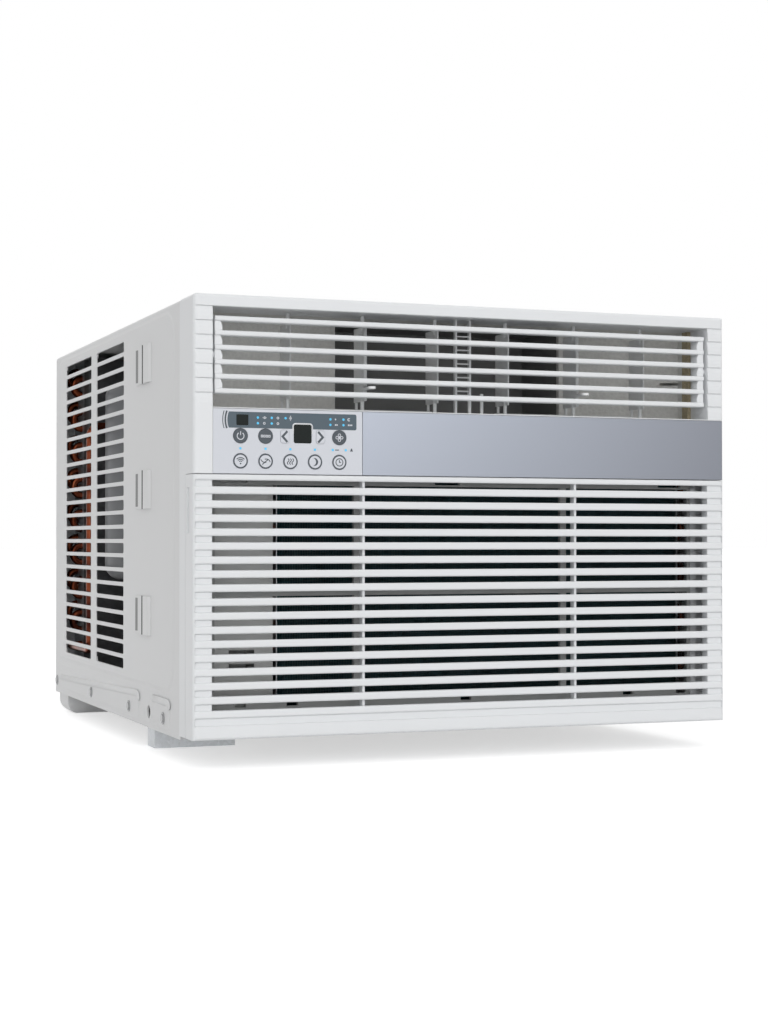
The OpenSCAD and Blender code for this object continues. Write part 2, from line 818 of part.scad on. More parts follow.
// Board with the lamps, the digits and a switch behind every button
module display_board() {
    color("#2f6b45") unit() {
        block(board_x, [board_y, board_y + board_t], board_z);
        block([window_x - 6, window_x + 6], [band_wall_y + mould_t + 0.5, board_y + eps],
              [window_z - 6, window_z + 6]);
        block([window_x - 22, window_x + 22], [board_y + board_t - eps, board_y + 6],
              [board_z[0] + 14, board_z[0] + 26]);
    }
}

// ---------------------------------------------------------------- outlet

vane_xs = [for (i = [0:2 * group_vanes - 1]) vane_x0 + i * vane_pitch];

// Six bars between two end cheeks, tilting together on pins in the stiles
module louver_frame() {
    bar_top = louvre_z + louvre_half_h;
    color("#eceef2") unit() {
        for (i = [0:louvre_bars - 1]) along_x([-louvre_x, louvre_x])
            translate([louvre_y - louvre_bar_d / 2, bar_top - i * louvre_pitch - louvre_bar_h / 2])
                soft_rect(louvre_bar_d, louvre_bar_h, 1.4);
        both_sides() {
            for (i = [1:louvre_bars - 1]) translate([louvre_x, 0, bar_top - i * louvre_pitch])
                along_y([louvre_y - louvre_bar_d / 2 + 1.5, louvre_y + louvre_bar_d / 2])
                    polygon([[0, 0], [-cheek_w, 0], [-cheek_w, louvre_pitch / 2],
                             [3 - cheek_w, louvre_pitch], [0, louvre_pitch]]);
            rod_x([louvre_x - eps, open_x - 0.4], louvre_y, louvre_z, louvre_pin_r + 1.5);
            rod_x([louvre_x - eps, open_x + 2], louvre_y, louvre_z, louvre_pin_r);
        }
    }
}

// Ladder post that stiffens the middle of the outlet, with two guide posts
module centre_brace() {
    color("#dfe1e5") unit() {
        for (s = [-1, 1]) block([s * 8 - 1, s * 8 + 1], [26, 31], [outlet_z, outlet_top]);
        for (i = [0:louvre_bars - 1])
            block([-8, 8], [26.5, 30.5], [0, 2]
                + (louvre_z + louvre_half_h - i * louvre_pitch - 1) * [1, 1]);
        for (x = [8, 22]) rod_z(x, 28, [outlet_z, outlet_z + 23], 1.8);
        block([-9, 24], [26, 31], [outlet_z, outlet_z + 2]);
    }
}

// Upright vane number i, turning on stubs in the shelf and the top wall
module vane(i) {
    z0 = outlet_z + vane_foot;
    z1 = outlet_top - vane_head;
    lever = i % group_vanes == 1;
    color("#e3e5e9") unit() translate([vane_xs[i], vane_y, 0]) {
        translate([-vane_t / 2, -vane_front, z0]) linear_extrude(z1 - z0)
            soft_rect(vane_t, vane_front + vane_back, vane_t / 2 - 0.05);
        rod_z(0, 0, [outlet_z - mould_t + 0.3, z0 + 5], vane_pin_r);
        rod_z(0, 0, [z1 - 5, outlet_top + mould_t - 0.3], vane_pin_r);
        rod_z(0, 0, [outlet_z + 0.3, outlet_z + 1.5], vane_pin_r + 1.5);
        rod_z(0, link_arm, [link_z - 0.2, z0 + 4], link_pin_r);
        if (lever) translate([0, 0, lever_z - 1.25]) linear_extrude(2.5) {
            polygon([[-2, -vane_front + 3], [-4, -vane_y + 8], [4, -vane_y + 8],
                     [2, -vane_front + 3]]);
            translate([0, -vane_y + 8]) circle(4);
        }
    }
}

// Bar that ties the vanes of one group together at their link pins
module link_bar(g) {
    xs = [for (i = [0:group_vanes - 1]) vane_xs[g * group_vanes + i]];
    w = xs[group_vanes - 1] - xs[0];
    color("#d8dade") unit() translate([xs[0], vane_y + link_arm, link_z])
        difference() {
            translate([w / 2, 0, 0]) linear_extrude(link_t) slot(w + link_w, link_w / 2);
            for (x = xs) rod_z(x - xs[0], 0, [-over, link_t + over], link_pin_r + run_gap);
        }
}

// ---------------------------------------------------------------- intake grille and filter

// Bar of the grille: a rounded face that tapers back to a thin edge
module grille_bar(z, h) {
    along_x([-half_w, half_w]) translate([0, z]) {
        polygon([[1.6, -h / 2], [1.6, h / 2], [bar_depth, h / 2 - 0.6],
                 [bar_depth, 0.6 - h / 2 + 1.6]]);
        translate([0, -h / 2]) soft_rect(4, h, 1.6);
    }
}

// Drop-down grille: bars over recessed stiles, two ribs and the hinge pins
module intake_grille() {
    top_bar_h = intake_h - first_gap_z - gap_h / 2;
    color("#e6e9ee") unit() {
        difference() {
            intersection() {
                union() {
                    grille_bar(intake_h - top_bar_h / 2, top_bar_h);
                    for (i = [1:gap_count])
                        grille_bar(first_gap_z - (i - 0.5) * bar_pitch, bar_h);
                    both_sides() {
                        block([half_w - mould_t, half_w], [0, grille_d], [0, intake_h]);
                        block([open_x, half_w], [fill_inset, fill_inset + mould_t],
                              [0, intake_h]);
                        block([open_x, open_x + 2], [fill_inset, bar_depth],
                              [0, intake_h]);
                        block([rib_x - 1.3, rib_x + 1.3], [4, bar_depth - 1],
                              [grille_foot_h, intake_h - 1]);
                    }
                    block([-open_x, open_x], [fill_inset, fill_inset + mould_t],
                          [0, first_gap_z - (gap_count - 0.5) * bar_pitch]);
                    block([-half_w, half_w], [0, fill_inset + eps], [0, grille_foot_h]);
                    block([-open_x, open_x], [0, 12], [0, mould_t]);
                }
                face_form();
            }
            // Chamfer that clears the bezel as the grille drops
            both_sides() along_x([half_w - mould_t - over, half_w + over])
                polygon([[grille_d - 3, -over], [grille_d + over, -over],
                         [grille_d + over, 3 + eps], [grille_d, 3]]);
            // Finger hold in each side wall
            both_sides() block([half_w - 1.2, half_w + over],
                [grille_d / 2, grille_d - 6], grip_z);
        }
        both_sides() rod_x([hinge_lug_x[0] - 2, half_w - mould_t + eps],
            hinge_y, hinge_z, grille_pin_r);
    }
}

// Openings of the filter frame, as [x limits, z limits]
FILTER_WINDOWS = [
    for (x = [[-filter_x + filter_rail, -filter_upright_x - filter_rail / 2],
              [-filter_upright_x + filter_rail / 2, filter_upright_x - filter_rail / 2],
              [filter_upright_x + filter_rail / 2, filter_x - filter_rail]],
         z = [[filter_z + 14, filter_mid_z - 2.5], [filter_mid_z + 2.5, filter_top - 9]])
        [x, z]
];

module filter_frame() {
    color("#84868a") unit() difference() {
        block([-filter_x, filter_x], [filter_y, filter_y + filter_t],
              [filter_z, filter_top]);
        for (w = FILTER_WINDOWS)
            block(w[0], [filter_y - over, filter_y + filter_t + over], w[1]);
        for (x = [27 - filter_x, -17, filter_x - 29])
            block([x - 14, x + 14], [filter_y - over, filter_y + filter_t + over],
                  [filter_top - 7, filter_top - 4]);
        for (x = [34 - filter_x, 48 - filter_upright_x * 2, 4, filter_x - 81, filter_x - 15])
            block([x - 6, x + 6], [filter_y - over, filter_y + filter_t + over],
                  [filter_z + 5, filter_z + 10]);
    }
}

// Mesh panel stretched in each opening of the frame
module filter_mesh() {
    color("#5b6468") unit() for (w = FILTER_WINDOWS)
        block(w[0], [filter_y + 2, filter_y + 2.8], w[1]);
}

// ---------------------------------------------------------------- electrics

box_x = [sheet_t + 0.3 - cab_in_x, 64 - open_x];
box_y = [pan_y[0] + sheet_t + 0.3, 97];
box_top = evap_top - 4;
guide_x = evap_x[0] - 4;

// Sheet box behind the left of the grille, with the air guide on its front edge
module control_box() {
    color("#8d9093") unit() difference() {
        union() {
            block(box_x, box_y, [pan_floor, box_top]);
            block([box_x[0], guide_x], [box_y[0], box_y[0] + sheet_t], [pan_floor, box_top]);
        }
        block([box_x[0] + sheet_t, box_x[1] - sheet_t], [box_y[0] + sheet_t, box_y[1] - sheet_t],
              [pan_floor + sheet_t, box_top - sheet_t]);
        for (z = [68, 82])
            block([guide_x - 47, guide_x - 20], [box_y[0] - over, box_y[0] + 4],
                  [z - 2.5, z + 2.5]);
        for (p = [[14, 198], [44, 124], [27, 125], [14, 124], [14, 113]])
            block(guide_x - p[0] + [-3.5, 3.5], [box_y[0] - over, box_y[0] + 4],
                  p[1] + [-1.5, 1.5]);
    }
}

module power_board() {
    y = box_y[1] - sheet_t;
    z0 = box_top - 188;
    color("#2f6b45") unit() {
        block([box_x[0] + 8, box_x[1] - 8], [y - 8, y - 6.4], [z0, box_top - 18]);
        for (x = [box_x[0] + 14, box_x[1] - 14], z = [z0 + 8, box_top - 26])
            rod_y(x, [y - 7, y], z, 2.5);
        for (z = z0 + [20, 55, 90])
            block([box_x[0] + 16, box_x[0] + 34], [y - 24, y - 8 + eps], [z, z + 24]);
        block([box_x[0] + 42, box_x[0] + 62], [y - 22, y - 8 + eps], [z0 + 120, z0 + 156]);
    }
}

module run_capacitor() {
    color("#a9adb1") unit() translate([(box_x[0] + box_x[1]) / 2, (box_y[0] + box_y[1]) / 2, 0]) {
        rod_z(0, 0, [pan_floor + sheet_t, 92], 16);
        for (x = [-7, 7]) rod_z(x, 0, [92 - eps, 100], 2);
    }
}

// ---------------------------------------------------------------- air side

duct_y = [bezel_d + 0.5, scroll_y[0]];
duct_z = [evap_top, body_h - 5];

// Flared foam duct from the blower's mouth to the outlet
module outlet_duct() {
    color("#a5a39b") unit() difference() {
        block([-open_x - 3, open_x + 3], duct_y, duct_z);
        translate([0, 0, outlet_z + 1]) linear_extrude(outlet_top - outlet_z - 1)
            polygon([[-open_x + 1, duct_y[0] - over], [open_x - 1, duct_y[0] - over],
                     [open_x - 1, duct_y[0] + 10], [throat_x[1], duct_y[1] - 6],
                     [throat_x[1], duct_y[1] + over], [throat_x[0], duct_y[1] + over],
                     [throat_x[0], duct_y[1] - 6], [-open_x + 1, duct_y[0] + 10]]);
        block([open_x - 20, open_x + 1], [duct_y[0] + 4, duct_y[0] + 26],
              [outlet_z + 42, outlet_z + 45]);
    }
}

// Strips that seal the duct to the bezel and to the blower
module foam_seals() {
    color("#cdbf94") unit() {
        block([open_x - 4, open_x], [37, 49], [outlet_z + 0.3, outlet_top - 0.3]);
        block([throat_x[0], throat_x[1]], [duct_y[1] - 5, duct_y[1]],
              [outlet_z + 1, outlet_z + 5]);
        both_sides() block([open_x + 3, cab_in_x - 0.3], [60, 110], [evap_top + 10, duct_z[1] - 10]);
    }
}

// Partition between the room side and the outdoor side
module bulkhead() {
    color("#a7abae") unit() difference() {
        along_y([bulk_y, bulk_y + sheet_t]) translate([0, pan_floor])
            arch(2 * (cab_in_x - sheet_t - 0.3), cab_in_top - 0.3 - pan_floor, 4);
        rod_y(fan_x, [bulk_y - over, bulk_y + sheet_t + over], fan_z, 30);
        rod_y(accu_c[0], [bulk_y - over, bulk_y + sheet_t + over], suction_z, pipe_r + 2);
    }
}

scroll_r0 = wheel_r + 10;
scroll_r1 = fan_x - throat_x[0];
scroll_a0 = acos((throat_x[1] - fan_x) / scroll_r0);

// Outline of the blower's scroll, grown outward by e
function scroll(e) = concat(
    [for (i = [0:30]) let (t = i / 30, a = scroll_a0 - t * (180 + scroll_a0),
                           r = scroll_r0 + t * (scroll_r1 - scroll_r0) + e)
        [fan_x + r * cos(a), fan_z + r * sin(a)]],
    [[throat_x[0] - e, scroll_top], [throat_x[1] + e, scroll_top]]);

// Scroll housing with its inlet plate, which also closes off the evaporator
module blower_housing() {
    color("#3b3f43") unit() {
        difference() {
            along_y([scroll_y[0], scroll_y[0] + scroll_t]) translate([evap_x[0] - 1, pan_floor])
                square([open_x + 9 - evap_x[0], scroll_top - pan_floor]);
            rod_y(fan_x, [scroll_y[0] - over, scroll_y[0] + 4], fan_z, inlet_r);
            block(throat_x, [scroll_y[0] - over, scroll_y[0] + 4],
                  [outlet_z + 1, outlet_top]);
        }
        difference() {
            along_y([scroll_y[0] + eps, scroll_y[1]]) polygon(scroll(scroll_t));
            along_y([scroll_y[0] - over, scroll_y[1] - scroll_t]) difference() {
                polygon(scroll(0));
                translate([throat_x[0] - over, scroll_top - scroll_t])
                    square([throat_x[1] - throat_x[0] + 2 * over, 2 * scroll_t]);
            }
            rod_y(fan_x, [scroll_y[1] - scroll_t - over, scroll_y[1] + over], fan_z, 24);
        }
        difference() {
            rod_y(fan_x, [scroll_y[0], scroll_y[0] + 7], fan_z, inlet_r + 2);
            rod_y(fan_x, [scroll_y[0] - over, scroll_y[0] + 8], fan_z, inlet_r);
        }
    }
}

// Section of one blower blade: an arc that starts radially and leans forward
function blade_arc(r, t, turn) = concat(
    [for (i = [0:6]) let (a = i * turn / 6) [wheel_r - 20 + r * sin(a), r - r * cos(a)]],
    [for (i = [6:-1:0]) let (a = i * turn / 6)
        [wheel_r - 20 + (r - t) * sin(a), r - (r - t) * cos(a)]]);

blower_y = [scroll_y[0] + 9, scroll_y[1] - 8];

module blower_wheel() {
    color("#54595e") unit() translate([fan_x, 0, fan_z]) difference() {
        union() {
            for (i = [0:wheel_blades - 1])
                along_y(blower_y) rotate(i * 360 / wheel_blades) polygon(blade_arc(19, 1.4, 68));
            rod_y(0, [blower_y[1] - 3, blower_y[1]], 0, wheel_r);
            difference() {
                rod_y(0, [blower_y[0], blower_y[0] + 4], 0, wheel_r + 1);
                rod_y(0, [blower_y[0] - over, blower_y[0] + 4 + over], 0, wheel_r - 6);
            }
            rod_y(0, [blower_y[1] - 34, blower_y[1] - 2], 0, 16);
        }
        rod_y(0, [blower_y[1] - 40, blower_y[1] + over], 0, shaft_r);
    }
}

// Shaft that runs right through the motor and carries both fans
module fan_shaft() {
    color("#c3c6c9") unit() rod_y(fan_x, [blower_y[1] - 38, fan_y + 22], fan_z, shaft_r);
}

module fan_motor() {
    color("#6e7377") unit() translate([fan_x, 0, fan_z]) rotate([-90, 0, 0])
        rotate_extrude() polygon([
            [shaft_r + run_gap, motor_y[0]], [24, motor_y[0]], [24, motor_y[0] + 8],
            [motor_r - 12, motor_y[0] + 12], [motor_r, motor_y[0] + 24],
            [motor_r, motor_y[1] - 24], [motor_r - 12, motor_y[1] - 12],
            [24, motor_y[1] - 8], [24, motor_y[1]], [shaft_r + run_gap, motor_y[1]]]);
}

// Ring plate on four posts that holds the motor off the partition
module motor_bracket() {
    y = (motor_y[0] + motor_y[1]) / 2;
    color("#9a9ea2") unit() {
        difference() {
            along_y([y, y + 3]) translate([fan_x - 82, fan_z - 82]) soft_rect(164, 164, 12);
            rod_y(fan_x, [y - over, y + 3 + over], fan_z, motor_r + 0.3);
        }
        for (sx = [-1, 1], sz = [-1, 1])
            rod_y(fan_x + sx * 70, [bulk_y + sheet_t, y + eps], fan_z + sz * 70, 7);
    }
}

blade_pitch = 16;
camber_r = 230;

// Sheet-like blade of the outdoor fan, cambered about a radial line
module fan_blade() {
    intersection() {
        along_y([-60, 60]) polygon(concat(
            [for (a = [-26:4:26]) (fan_r - 3) * [cos(a), sin(a)]],
            [for (a = [26:-26:-26]) 30 * [cos(a), sin(a)]]));
        rotate([blade_pitch, 0, 0]) translate([0, camber_r, 0]) difference() {
            rod_x([20, fan_r], 0, 0, camber_r + 1.2);
            rod_x([19, fan_r + over], 0, 0, camber_r - 1.2);
        }
    }
}

// Outdoor fan with the slinger ring that lifts water out of the sump
module outdoor_fan() {
    color("#2b2e31") unit() translate([fan_x, fan_y, fan_z]) difference() {
        union() {
            for (i = [0:fan_blades - 1]) rotate([0, i * 360 / fan_blades, 0]) fan_blade();
            rod_y(0, [-16, 18], 0, 36);
            difference() {
                rod_y(0, [-6, 12], 0, fan_r);
                rod_y(0, [-6 - over, 12 + over], 0, fan_r - 5);
            }
        }
        rod_y(0, [-17, 19], 0, shaft_r);
    }
}

// Orifice plate and collar in front of the condenser
module fan_shroud() {
    color("#8f9397") unit() {
        difference() {
            block(cond_x, [shroud_y, cond_y], [pan_floor, cond_top]);
            block([cond_x[0] + sheet_t, cond_x[1] - sheet_t], [shroud_y + sheet_t, cond_y + over],
                  [pan_floor - over, cond_top - sheet_t]);
            rod_y(fan_x, [shroud_y - over, shroud_y + over + sheet_t], fan_z, fan_r + 6);
        }
        difference() {
            rod_y(fan_x, [shroud_y - 40, shroud_y + sheet_t], fan_z, fan_r + 8);
            rod_y(fan_x, [shroud_y - 41, shroud_y + 2 * sheet_t], fan_z, fan_r + 6);
        }
    }
}

// ---------------------------------------------------------------- refrigerant circuit

module evaporator_fins() {
    color("#20383c") unit() translate([evap_x[0], evap_y, coil_z])
        linear_extrude(evap_top - coil_z) polygon(comb(evap_x[1] - evap_x[0], evap_t, 3, 1));
}

// Return bends at both ends of a coil, staggered from row to row
module coil_bends(x, y, t, z0, z1, span) {
    for (s = [0, 1], r = [0, 1], z = [z0 + span * (s == r ? 0 : 0.5):2 * span:z1 - span])
        translate([x[s], y + t * (r == 0 ? 0.27 : 0.73), z + span / 2])
            mirror([s, 0, 0]) return_bend(0, 0, 0, span, coil_r);
}

module evaporator_bends() {
    color("#b06a3f") unit() coil_bends(evap_x, evap_y, evap_t, coil_z + 12, evap_top - 8, 25);
}

module condenser_fins() {
    color("#6d7478") unit() translate([cond_x[0], cond_y, pan_floor])
        linear_extrude(cond_top - pan_floor) polygon(comb(cond_x[1] - cond_x[0], cond_t, 3, 1));
}

module condenser_bends() {
    color("#b5623a") unit()
        coil_bends([cond_x[0], cond_x[1]], cond_y, cond_t, 80, cond_top - 8, 22);
}

// Foam tray that the evaporator stands in
module drain_tray() {
    color("#b7b4aa") unit() difference() {
        block([evap_x[0] - 1, cab_in_x - screw_reach - 1], [pan_y[0] + sheet_t + 0.3, scroll_y[0]],
              [pan_floor, coil_z]);
        block([evap_x[0] + 6, evap_x[1] - 4], [evap_y + 6, evap_y + evap_t - 6],
              [pan_floor + 10, coil_z + over]);
    }
}

feet_r = 98;
feet_a = [90, 210, 330];

// Welded shell with domed ends, a seam ring, three feet and the terminal cover
module compressor() {
    color("#232629") unit() translate([comp_c[0], comp_c[1], comp_z]) difference() {
        union() {
            rotate_extrude() union() {
                square([comp_r - 26, comp_h]);
                translate([0, 26]) square([comp_r, comp_h - 52]);
                for (z = [26, comp_h - 26]) translate([comp_r - 26, z]) circle(26);
                translate([0, comp_h - 60]) square([comp_r + 1.5, 5]);
            }
            translate([0, 0, -4]) linear_extrude(4 + eps) union() {
                circle(comp_r - 14);
                for (a = feet_a) rotate(a) translate([0, -18]) soft_rect(feet_r + 14, 36, 10);
            }
            rod_z(20, 0, [comp_h - eps, comp_h + 22], 20);
        }
        for (a = feet_a) rotate(a) rod_z(feet_r, 0, [-4 - over, over], 7);
        rod_z(0, 0, [comp_wall, comp_h - comp_wall], comp_r - comp_wall);
        rod_z(-port_x, 0, [comp_h - comp_wall - over, comp_h + over], pipe_r - 2);
    }
}

// Rubber spools between the compressor's feet and the pan
module compressor_mounts() {
    color("#17181a") unit() for (a = feet_a)
        translate([comp_c[0] + feet_r * cos(a), comp_c[1] + feet_r * sin(a), 0])
            rotate_extrude() polygon([
                [3.2, pan_floor], [13, pan_floor], [11, comp_z - 4.05], [6.8, comp_z - 4.05],
                [6.8, comp_z + 0.05], [10, comp_z + 0.05], [9, comp_z + 5], [3.2, comp_z + 5]]);
}

// Suction accumulator, strapped to the compressor
module accumulator() {
    gap_x = comp_c[0] - comp_r - 0.4;
    color("#7c8083") unit() {
        translate([accu_c[0], accu_c[1], accu_z[0]]) difference() {
            rotate_extrude() union() {
                translate([0, accu_dome]) square([accu_r, accu_h - 2 * accu_dome]);
                square([accu_r - accu_dome, accu_h]);
                for (z = [accu_dome, accu_h - accu_dome])
                    translate([accu_r - accu_dome, z]) circle(accu_dome);
            }
            rod_z(0, 0, [accu_wall, accu_h - accu_wall], accu_r - accu_wall);
            rod_z(0, 0, [accu_h - accu_dome, accu_h + over], pipe_r - 2);
        }
        block([accu_c[0] + accu_r - 4, gap_x], [accu_c[1] - 12, accu_c[1] + 12], [230, 250]);
    }
}

module suction_pipe() {
    x = accu_c[0];
    drop_y = bulk_y - 52;
    out_y = evap_y + evap_t - 8;
    out_z = evap_top - 22;
    color("#b5683c") unit() tube_run([
        [x, accu_c[1], accu_z[1]], [x, accu_c[1], suction_z], [x, drop_y, suction_z],
        [x, drop_y, out_z], [x, out_y, out_z], [evap_x[0], out_y, out_z]], pipe_r, pipe_bend);
}

module discharge_pipe() {
    x = comp_c[0] - port_x;
    side_x = cond_x[0] - 15;
    drop_y = fan_y - 45;
    in_y = cond_y + 15;
    z = comp_z + comp_h;
    color("#b5683c") unit() tube_run([
        [x, comp_c[1], z], [x, comp_c[1], z + 25], [x, drop_y, z + 25],
        [side_x, drop_y, z + 25], [side_x, drop_y, cond_low_z], [side_x, in_y, cond_low_z],
        [cond_x[0], in_y, cond_low_z]], pipe_r, pipe_bend);
}

// ---------------------------------------------------------------- nodes

base_pan();
sill_foot();
cabinet();
case_screws();
front_bezel();
control_panel();
indicator_strip();
digit_window();
receiver_window();
status_leds();
silver_trim();
display_board();
button(0);  // button_power
button(1);  // button_mode
button(DOWN);  // button_down
button(UP);  // button_up
button(4);  // button_fan
button(5);  // button_wireless
button(6);  // button_eco
button(7);  // button_swing
button(8);  // button_sleep
button(9);  // button_timer
louver_frame();
centre_brace();
vane(0);  // vane_1
vane(1);  // vane_2
vane(2);  // vane_3
vane(3);  // vane_4
vane(4);  // vane_5
vane(5);  // vane_6
link_bar(0);  // link_left
link_bar(1);  // link_right
intake_grille();
filter_frame();
filter_mesh();
control_box();
power_board();
run_capacitor();
outlet_duct();
foam_seals();
bulkhead();
blower_housing();
blower_wheel();
fan_shaft();
fan_motor();
motor_bracket();
evaporator_fins();
evaporator_bends();
drain_tray();
outdoor_fan();
fan_shroud();
condenser_fins();
condenser_bends();
compressor();
compressor_mounts();
accumulator();
suction_pipe();
discharge_pipe();
cord_bushing();
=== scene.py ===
"""Looks of a window air conditioner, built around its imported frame.

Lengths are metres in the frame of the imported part: +X to the right as seen from the room, +Y to the
outdoor side, +Z up.
"""

import json
import math

import bmesh
import bpy
from bpy.props import FloatProperty, FloatVectorProperty, PointerProperty
from bpy.types import Operator, Panel, PropertyGroup
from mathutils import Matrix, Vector


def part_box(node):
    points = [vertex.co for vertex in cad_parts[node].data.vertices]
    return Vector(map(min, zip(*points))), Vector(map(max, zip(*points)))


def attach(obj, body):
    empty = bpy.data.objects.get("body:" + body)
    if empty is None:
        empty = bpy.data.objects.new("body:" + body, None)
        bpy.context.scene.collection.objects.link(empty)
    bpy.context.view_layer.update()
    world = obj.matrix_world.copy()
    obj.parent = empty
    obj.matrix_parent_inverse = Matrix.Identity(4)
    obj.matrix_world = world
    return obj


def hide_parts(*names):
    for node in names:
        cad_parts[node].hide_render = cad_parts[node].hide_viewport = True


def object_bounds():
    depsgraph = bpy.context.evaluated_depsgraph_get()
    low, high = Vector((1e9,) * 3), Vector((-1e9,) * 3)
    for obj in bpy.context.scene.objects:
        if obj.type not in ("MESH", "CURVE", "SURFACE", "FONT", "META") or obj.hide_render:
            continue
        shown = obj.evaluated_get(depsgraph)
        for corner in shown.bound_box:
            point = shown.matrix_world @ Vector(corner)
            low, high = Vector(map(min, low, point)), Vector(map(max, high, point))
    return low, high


bl_info = {
    "name": "Window Air Conditioner Looks",
    "version": (1, 0, 0),
    "blender": (4, 5, 0),
    "location": "View3D > Sidebar > Air Conditioner",
    "description": "Finishes and fine pieces of a window air conditioner around its CAD frame",
    "category": "Object",
}

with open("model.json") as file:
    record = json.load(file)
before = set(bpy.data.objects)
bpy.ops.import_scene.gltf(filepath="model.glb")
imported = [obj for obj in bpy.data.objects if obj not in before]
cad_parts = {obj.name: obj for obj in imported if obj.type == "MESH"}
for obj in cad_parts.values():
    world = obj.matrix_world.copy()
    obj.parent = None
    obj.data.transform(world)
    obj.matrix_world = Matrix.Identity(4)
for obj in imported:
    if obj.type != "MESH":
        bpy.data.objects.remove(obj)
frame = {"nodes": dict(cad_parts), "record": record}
CAD_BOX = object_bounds()
NODES = frame["nodes"]
SLOT_OF = {part["node"]: part["material_slot"] for part in frame["record"]["subparts"]}
BODY_OF = {
    node: body for body, members in frame["record"]["behaviour"]["bodies"].items() for node in members
}
MM = 0.001
UNIT_TOP = CAD_BOX[1].z
TURN = [math.radians(15 * step) for step in range(24)]

# The lanced flaps of the cabinet's sides, in millimetres: how far they stand out, how long the large
# flap is, how far behind its front the small one starts, and their height.
FLAP_RISE = 3.0
FLAP_LENGTH = 48
SMALL_FLAP_START = 53
FLAP_HEIGHT = 42


# ---------------------------------------------------------------- shader helpers


class Wire:
    """A shader socket that takes part in Python sums: each operator adds its Math node."""

    def __init__(self, look, socket):
        self.look = look
        self.socket = socket

    def math(self, operation, *values):
        return self.look.node("Math", {"operation": operation}, *values)

    def __add__(self, other):
        return self.math("ADD", self, other)

    def __sub__(self, other):
        return self.math("SUBTRACT", self, other)

    def __rsub__(self, other):
        return self.math("SUBTRACT", other, self)

    def __mul__(self, other):
        return self.math("MULTIPLY", self, other)

    __radd__ = __add__
    __rmul__ = __mul__

    def out(self, name):
        """Another output of the same node."""
        return Wire(self.look, self.socket.node.outputs[name])


class Look:
    """A material that is being built around one Principled shader."""

    def __init__(self, name, **sockets):
        self.material = bpy.data.materials.new(name)
        self.material.use_nodes = True
        self.tree = self.material.node_tree
        self.shader = self.tree.nodes["Principled BSDF"]
        self.place = self.node("TexCoord").out("Object")
        self.set(**sockets)

    def node(self, kind, settings=None, *values, **named):
        """Adds a node: first its settings, then the values or links of its sockets."""
        made = self.tree.nodes.new("ShaderNode" + kind)
        for key, value in (settings or {}).items():
            if key == "stops":
                self.set_stops(made.color_ramp.elements, value)
            else:
                setattr(made, key, value)
        for socket, value in zip([s for s in made.inputs if s.enabled], values):
            self.feed(socket, value)
        for name, value in named.items():
            self.feed(made.inputs[name.replace("_", " ")], value)
        return Wire(self, next(s for s in made.outputs if s.enabled))

    def set_stops(self, elements, stops):
        while len(elements) < len(stops):
            elements.new(1.0)
        for element, (place, colour) in zip(elements, stops):
            element.position = place
            element.color = (*colour, 1.0)

    def feed(self, socket, value):
        """Links a wire to the socket, or sets the socket to a number or colour."""
        if isinstance(value, Wire):
            self.tree.links.new(value.socket, socket)
        elif socket.type == "RGBA" and len(value) == 3:
            socket.default_value = (*value, 1.0)
        else:
            socket.default_value = value

    def set(self, **sockets):
        """Feeds sockets of the shader by name, such as Base_Color."""
        for name, value in sockets.items():
            self.feed(self.shader.inputs[name.replace("_", " ")], value)
        return self

    def noise(self, scale, detail=2.0, rough=0.5, stretch=None):
        """Cloudy noise with this many lumps a metre."""
        place = self.place
        if stretch:
            place = self.node("VectorMath", {"operation": "MULTIPLY"}, place, stretch)
        return self.node("TexNoise", None, Vector=place, Scale=scale, Detail=detail, Roughness=rough)

    def cells(self, scale):
        """Cell pattern with this many cells a metre: the distance from each cell's middle."""
        return self.node("TexVoronoi", {"feature": "F1"}, Vector=self.place, Scale=scale)

    def axis(self, name):
        """One coordinate of the surface, in metres."""
        return self.node("SeparateXYZ", None, self.place).out(name)

    def span(self, value, low, high):
        """0 where value is low or less, 1 where it is high or more."""
        return self.node("MapRange", None, value, low, high, 0.0, 1.0)

    def blend(self, factor, first, second):
        """Mixes two colours."""
        return self.node("Mix", {"data_type": "RGBA"}, factor, first, second)

    def tint(self, colour, value, amount):
        """The colour, made darker and lighter by this share as value goes from 0 to 1."""
        dark, light = ([min(c * k, 1.0) for c in colour] for k in (1 - amount, 1 + amount))
        return self.blend(value, dark, light)

    def relief(self, height, depth, edge=0.0):
        """Bump of this depth in metres, over edges that look rounded by this radius."""
        normal = {"Normal": self.node("Bevel", {"samples": 4}, edge)} if edge else {}
        bump = self.node("Bump", None, Strength=1.0, Distance=depth, Height=height, **normal)
        return self.set(Normal=bump)


# ---------------------------------------------------------------- finishes


def sheet_paint(name, colour, roughness=0.42):
    """Powder paint on sheet steel: even, with a faint orange peel."""
    look = Look(name)
    clouds = look.noise(5.0, 3.0)
    look.set(
        Base_Color=look.tint(colour, clouds, 0.025),
        Roughness=clouds * 0.10 + (roughness - 0.05),
    )
    look.relief(look.noise(520.0, 2.0), 0.00004, 0.0007)
    return look.material


def moulded(name, colour, roughness=0.4, grain=1600.0, depth=0.00002, edge=0.0006):
    """Injection-moulded plastic with a fine spark-eroded grain."""
    look = Look(name)
    clouds = look.noise(9.0, 2.0)
    look.set(
        Base_Color=look.tint(colour, clouds, 0.018),
        Roughness=clouds * 0.08 + (roughness - 0.04),
    )
    look.relief(look.noise(grain, 2.0, 0.6), depth, edge)
    return look.material


def cabinet_paint(name):
    return sheet_paint(name, finishes().cabinet)


def box_grey(name):
    return sheet_paint(name, (0.80, 0.80, 0.785), 0.5)


def white_abs(name):
    return moulded(name, finishes().bezel, 0.34, edge=0.0012)


def vane_abs(name):
    return moulded(name, finishes().vanes, 0.4)


def panel_abs(name):
    return moulded(name, finishes().panel, 0.36, 2600.0, 0.000008, 0.0003)


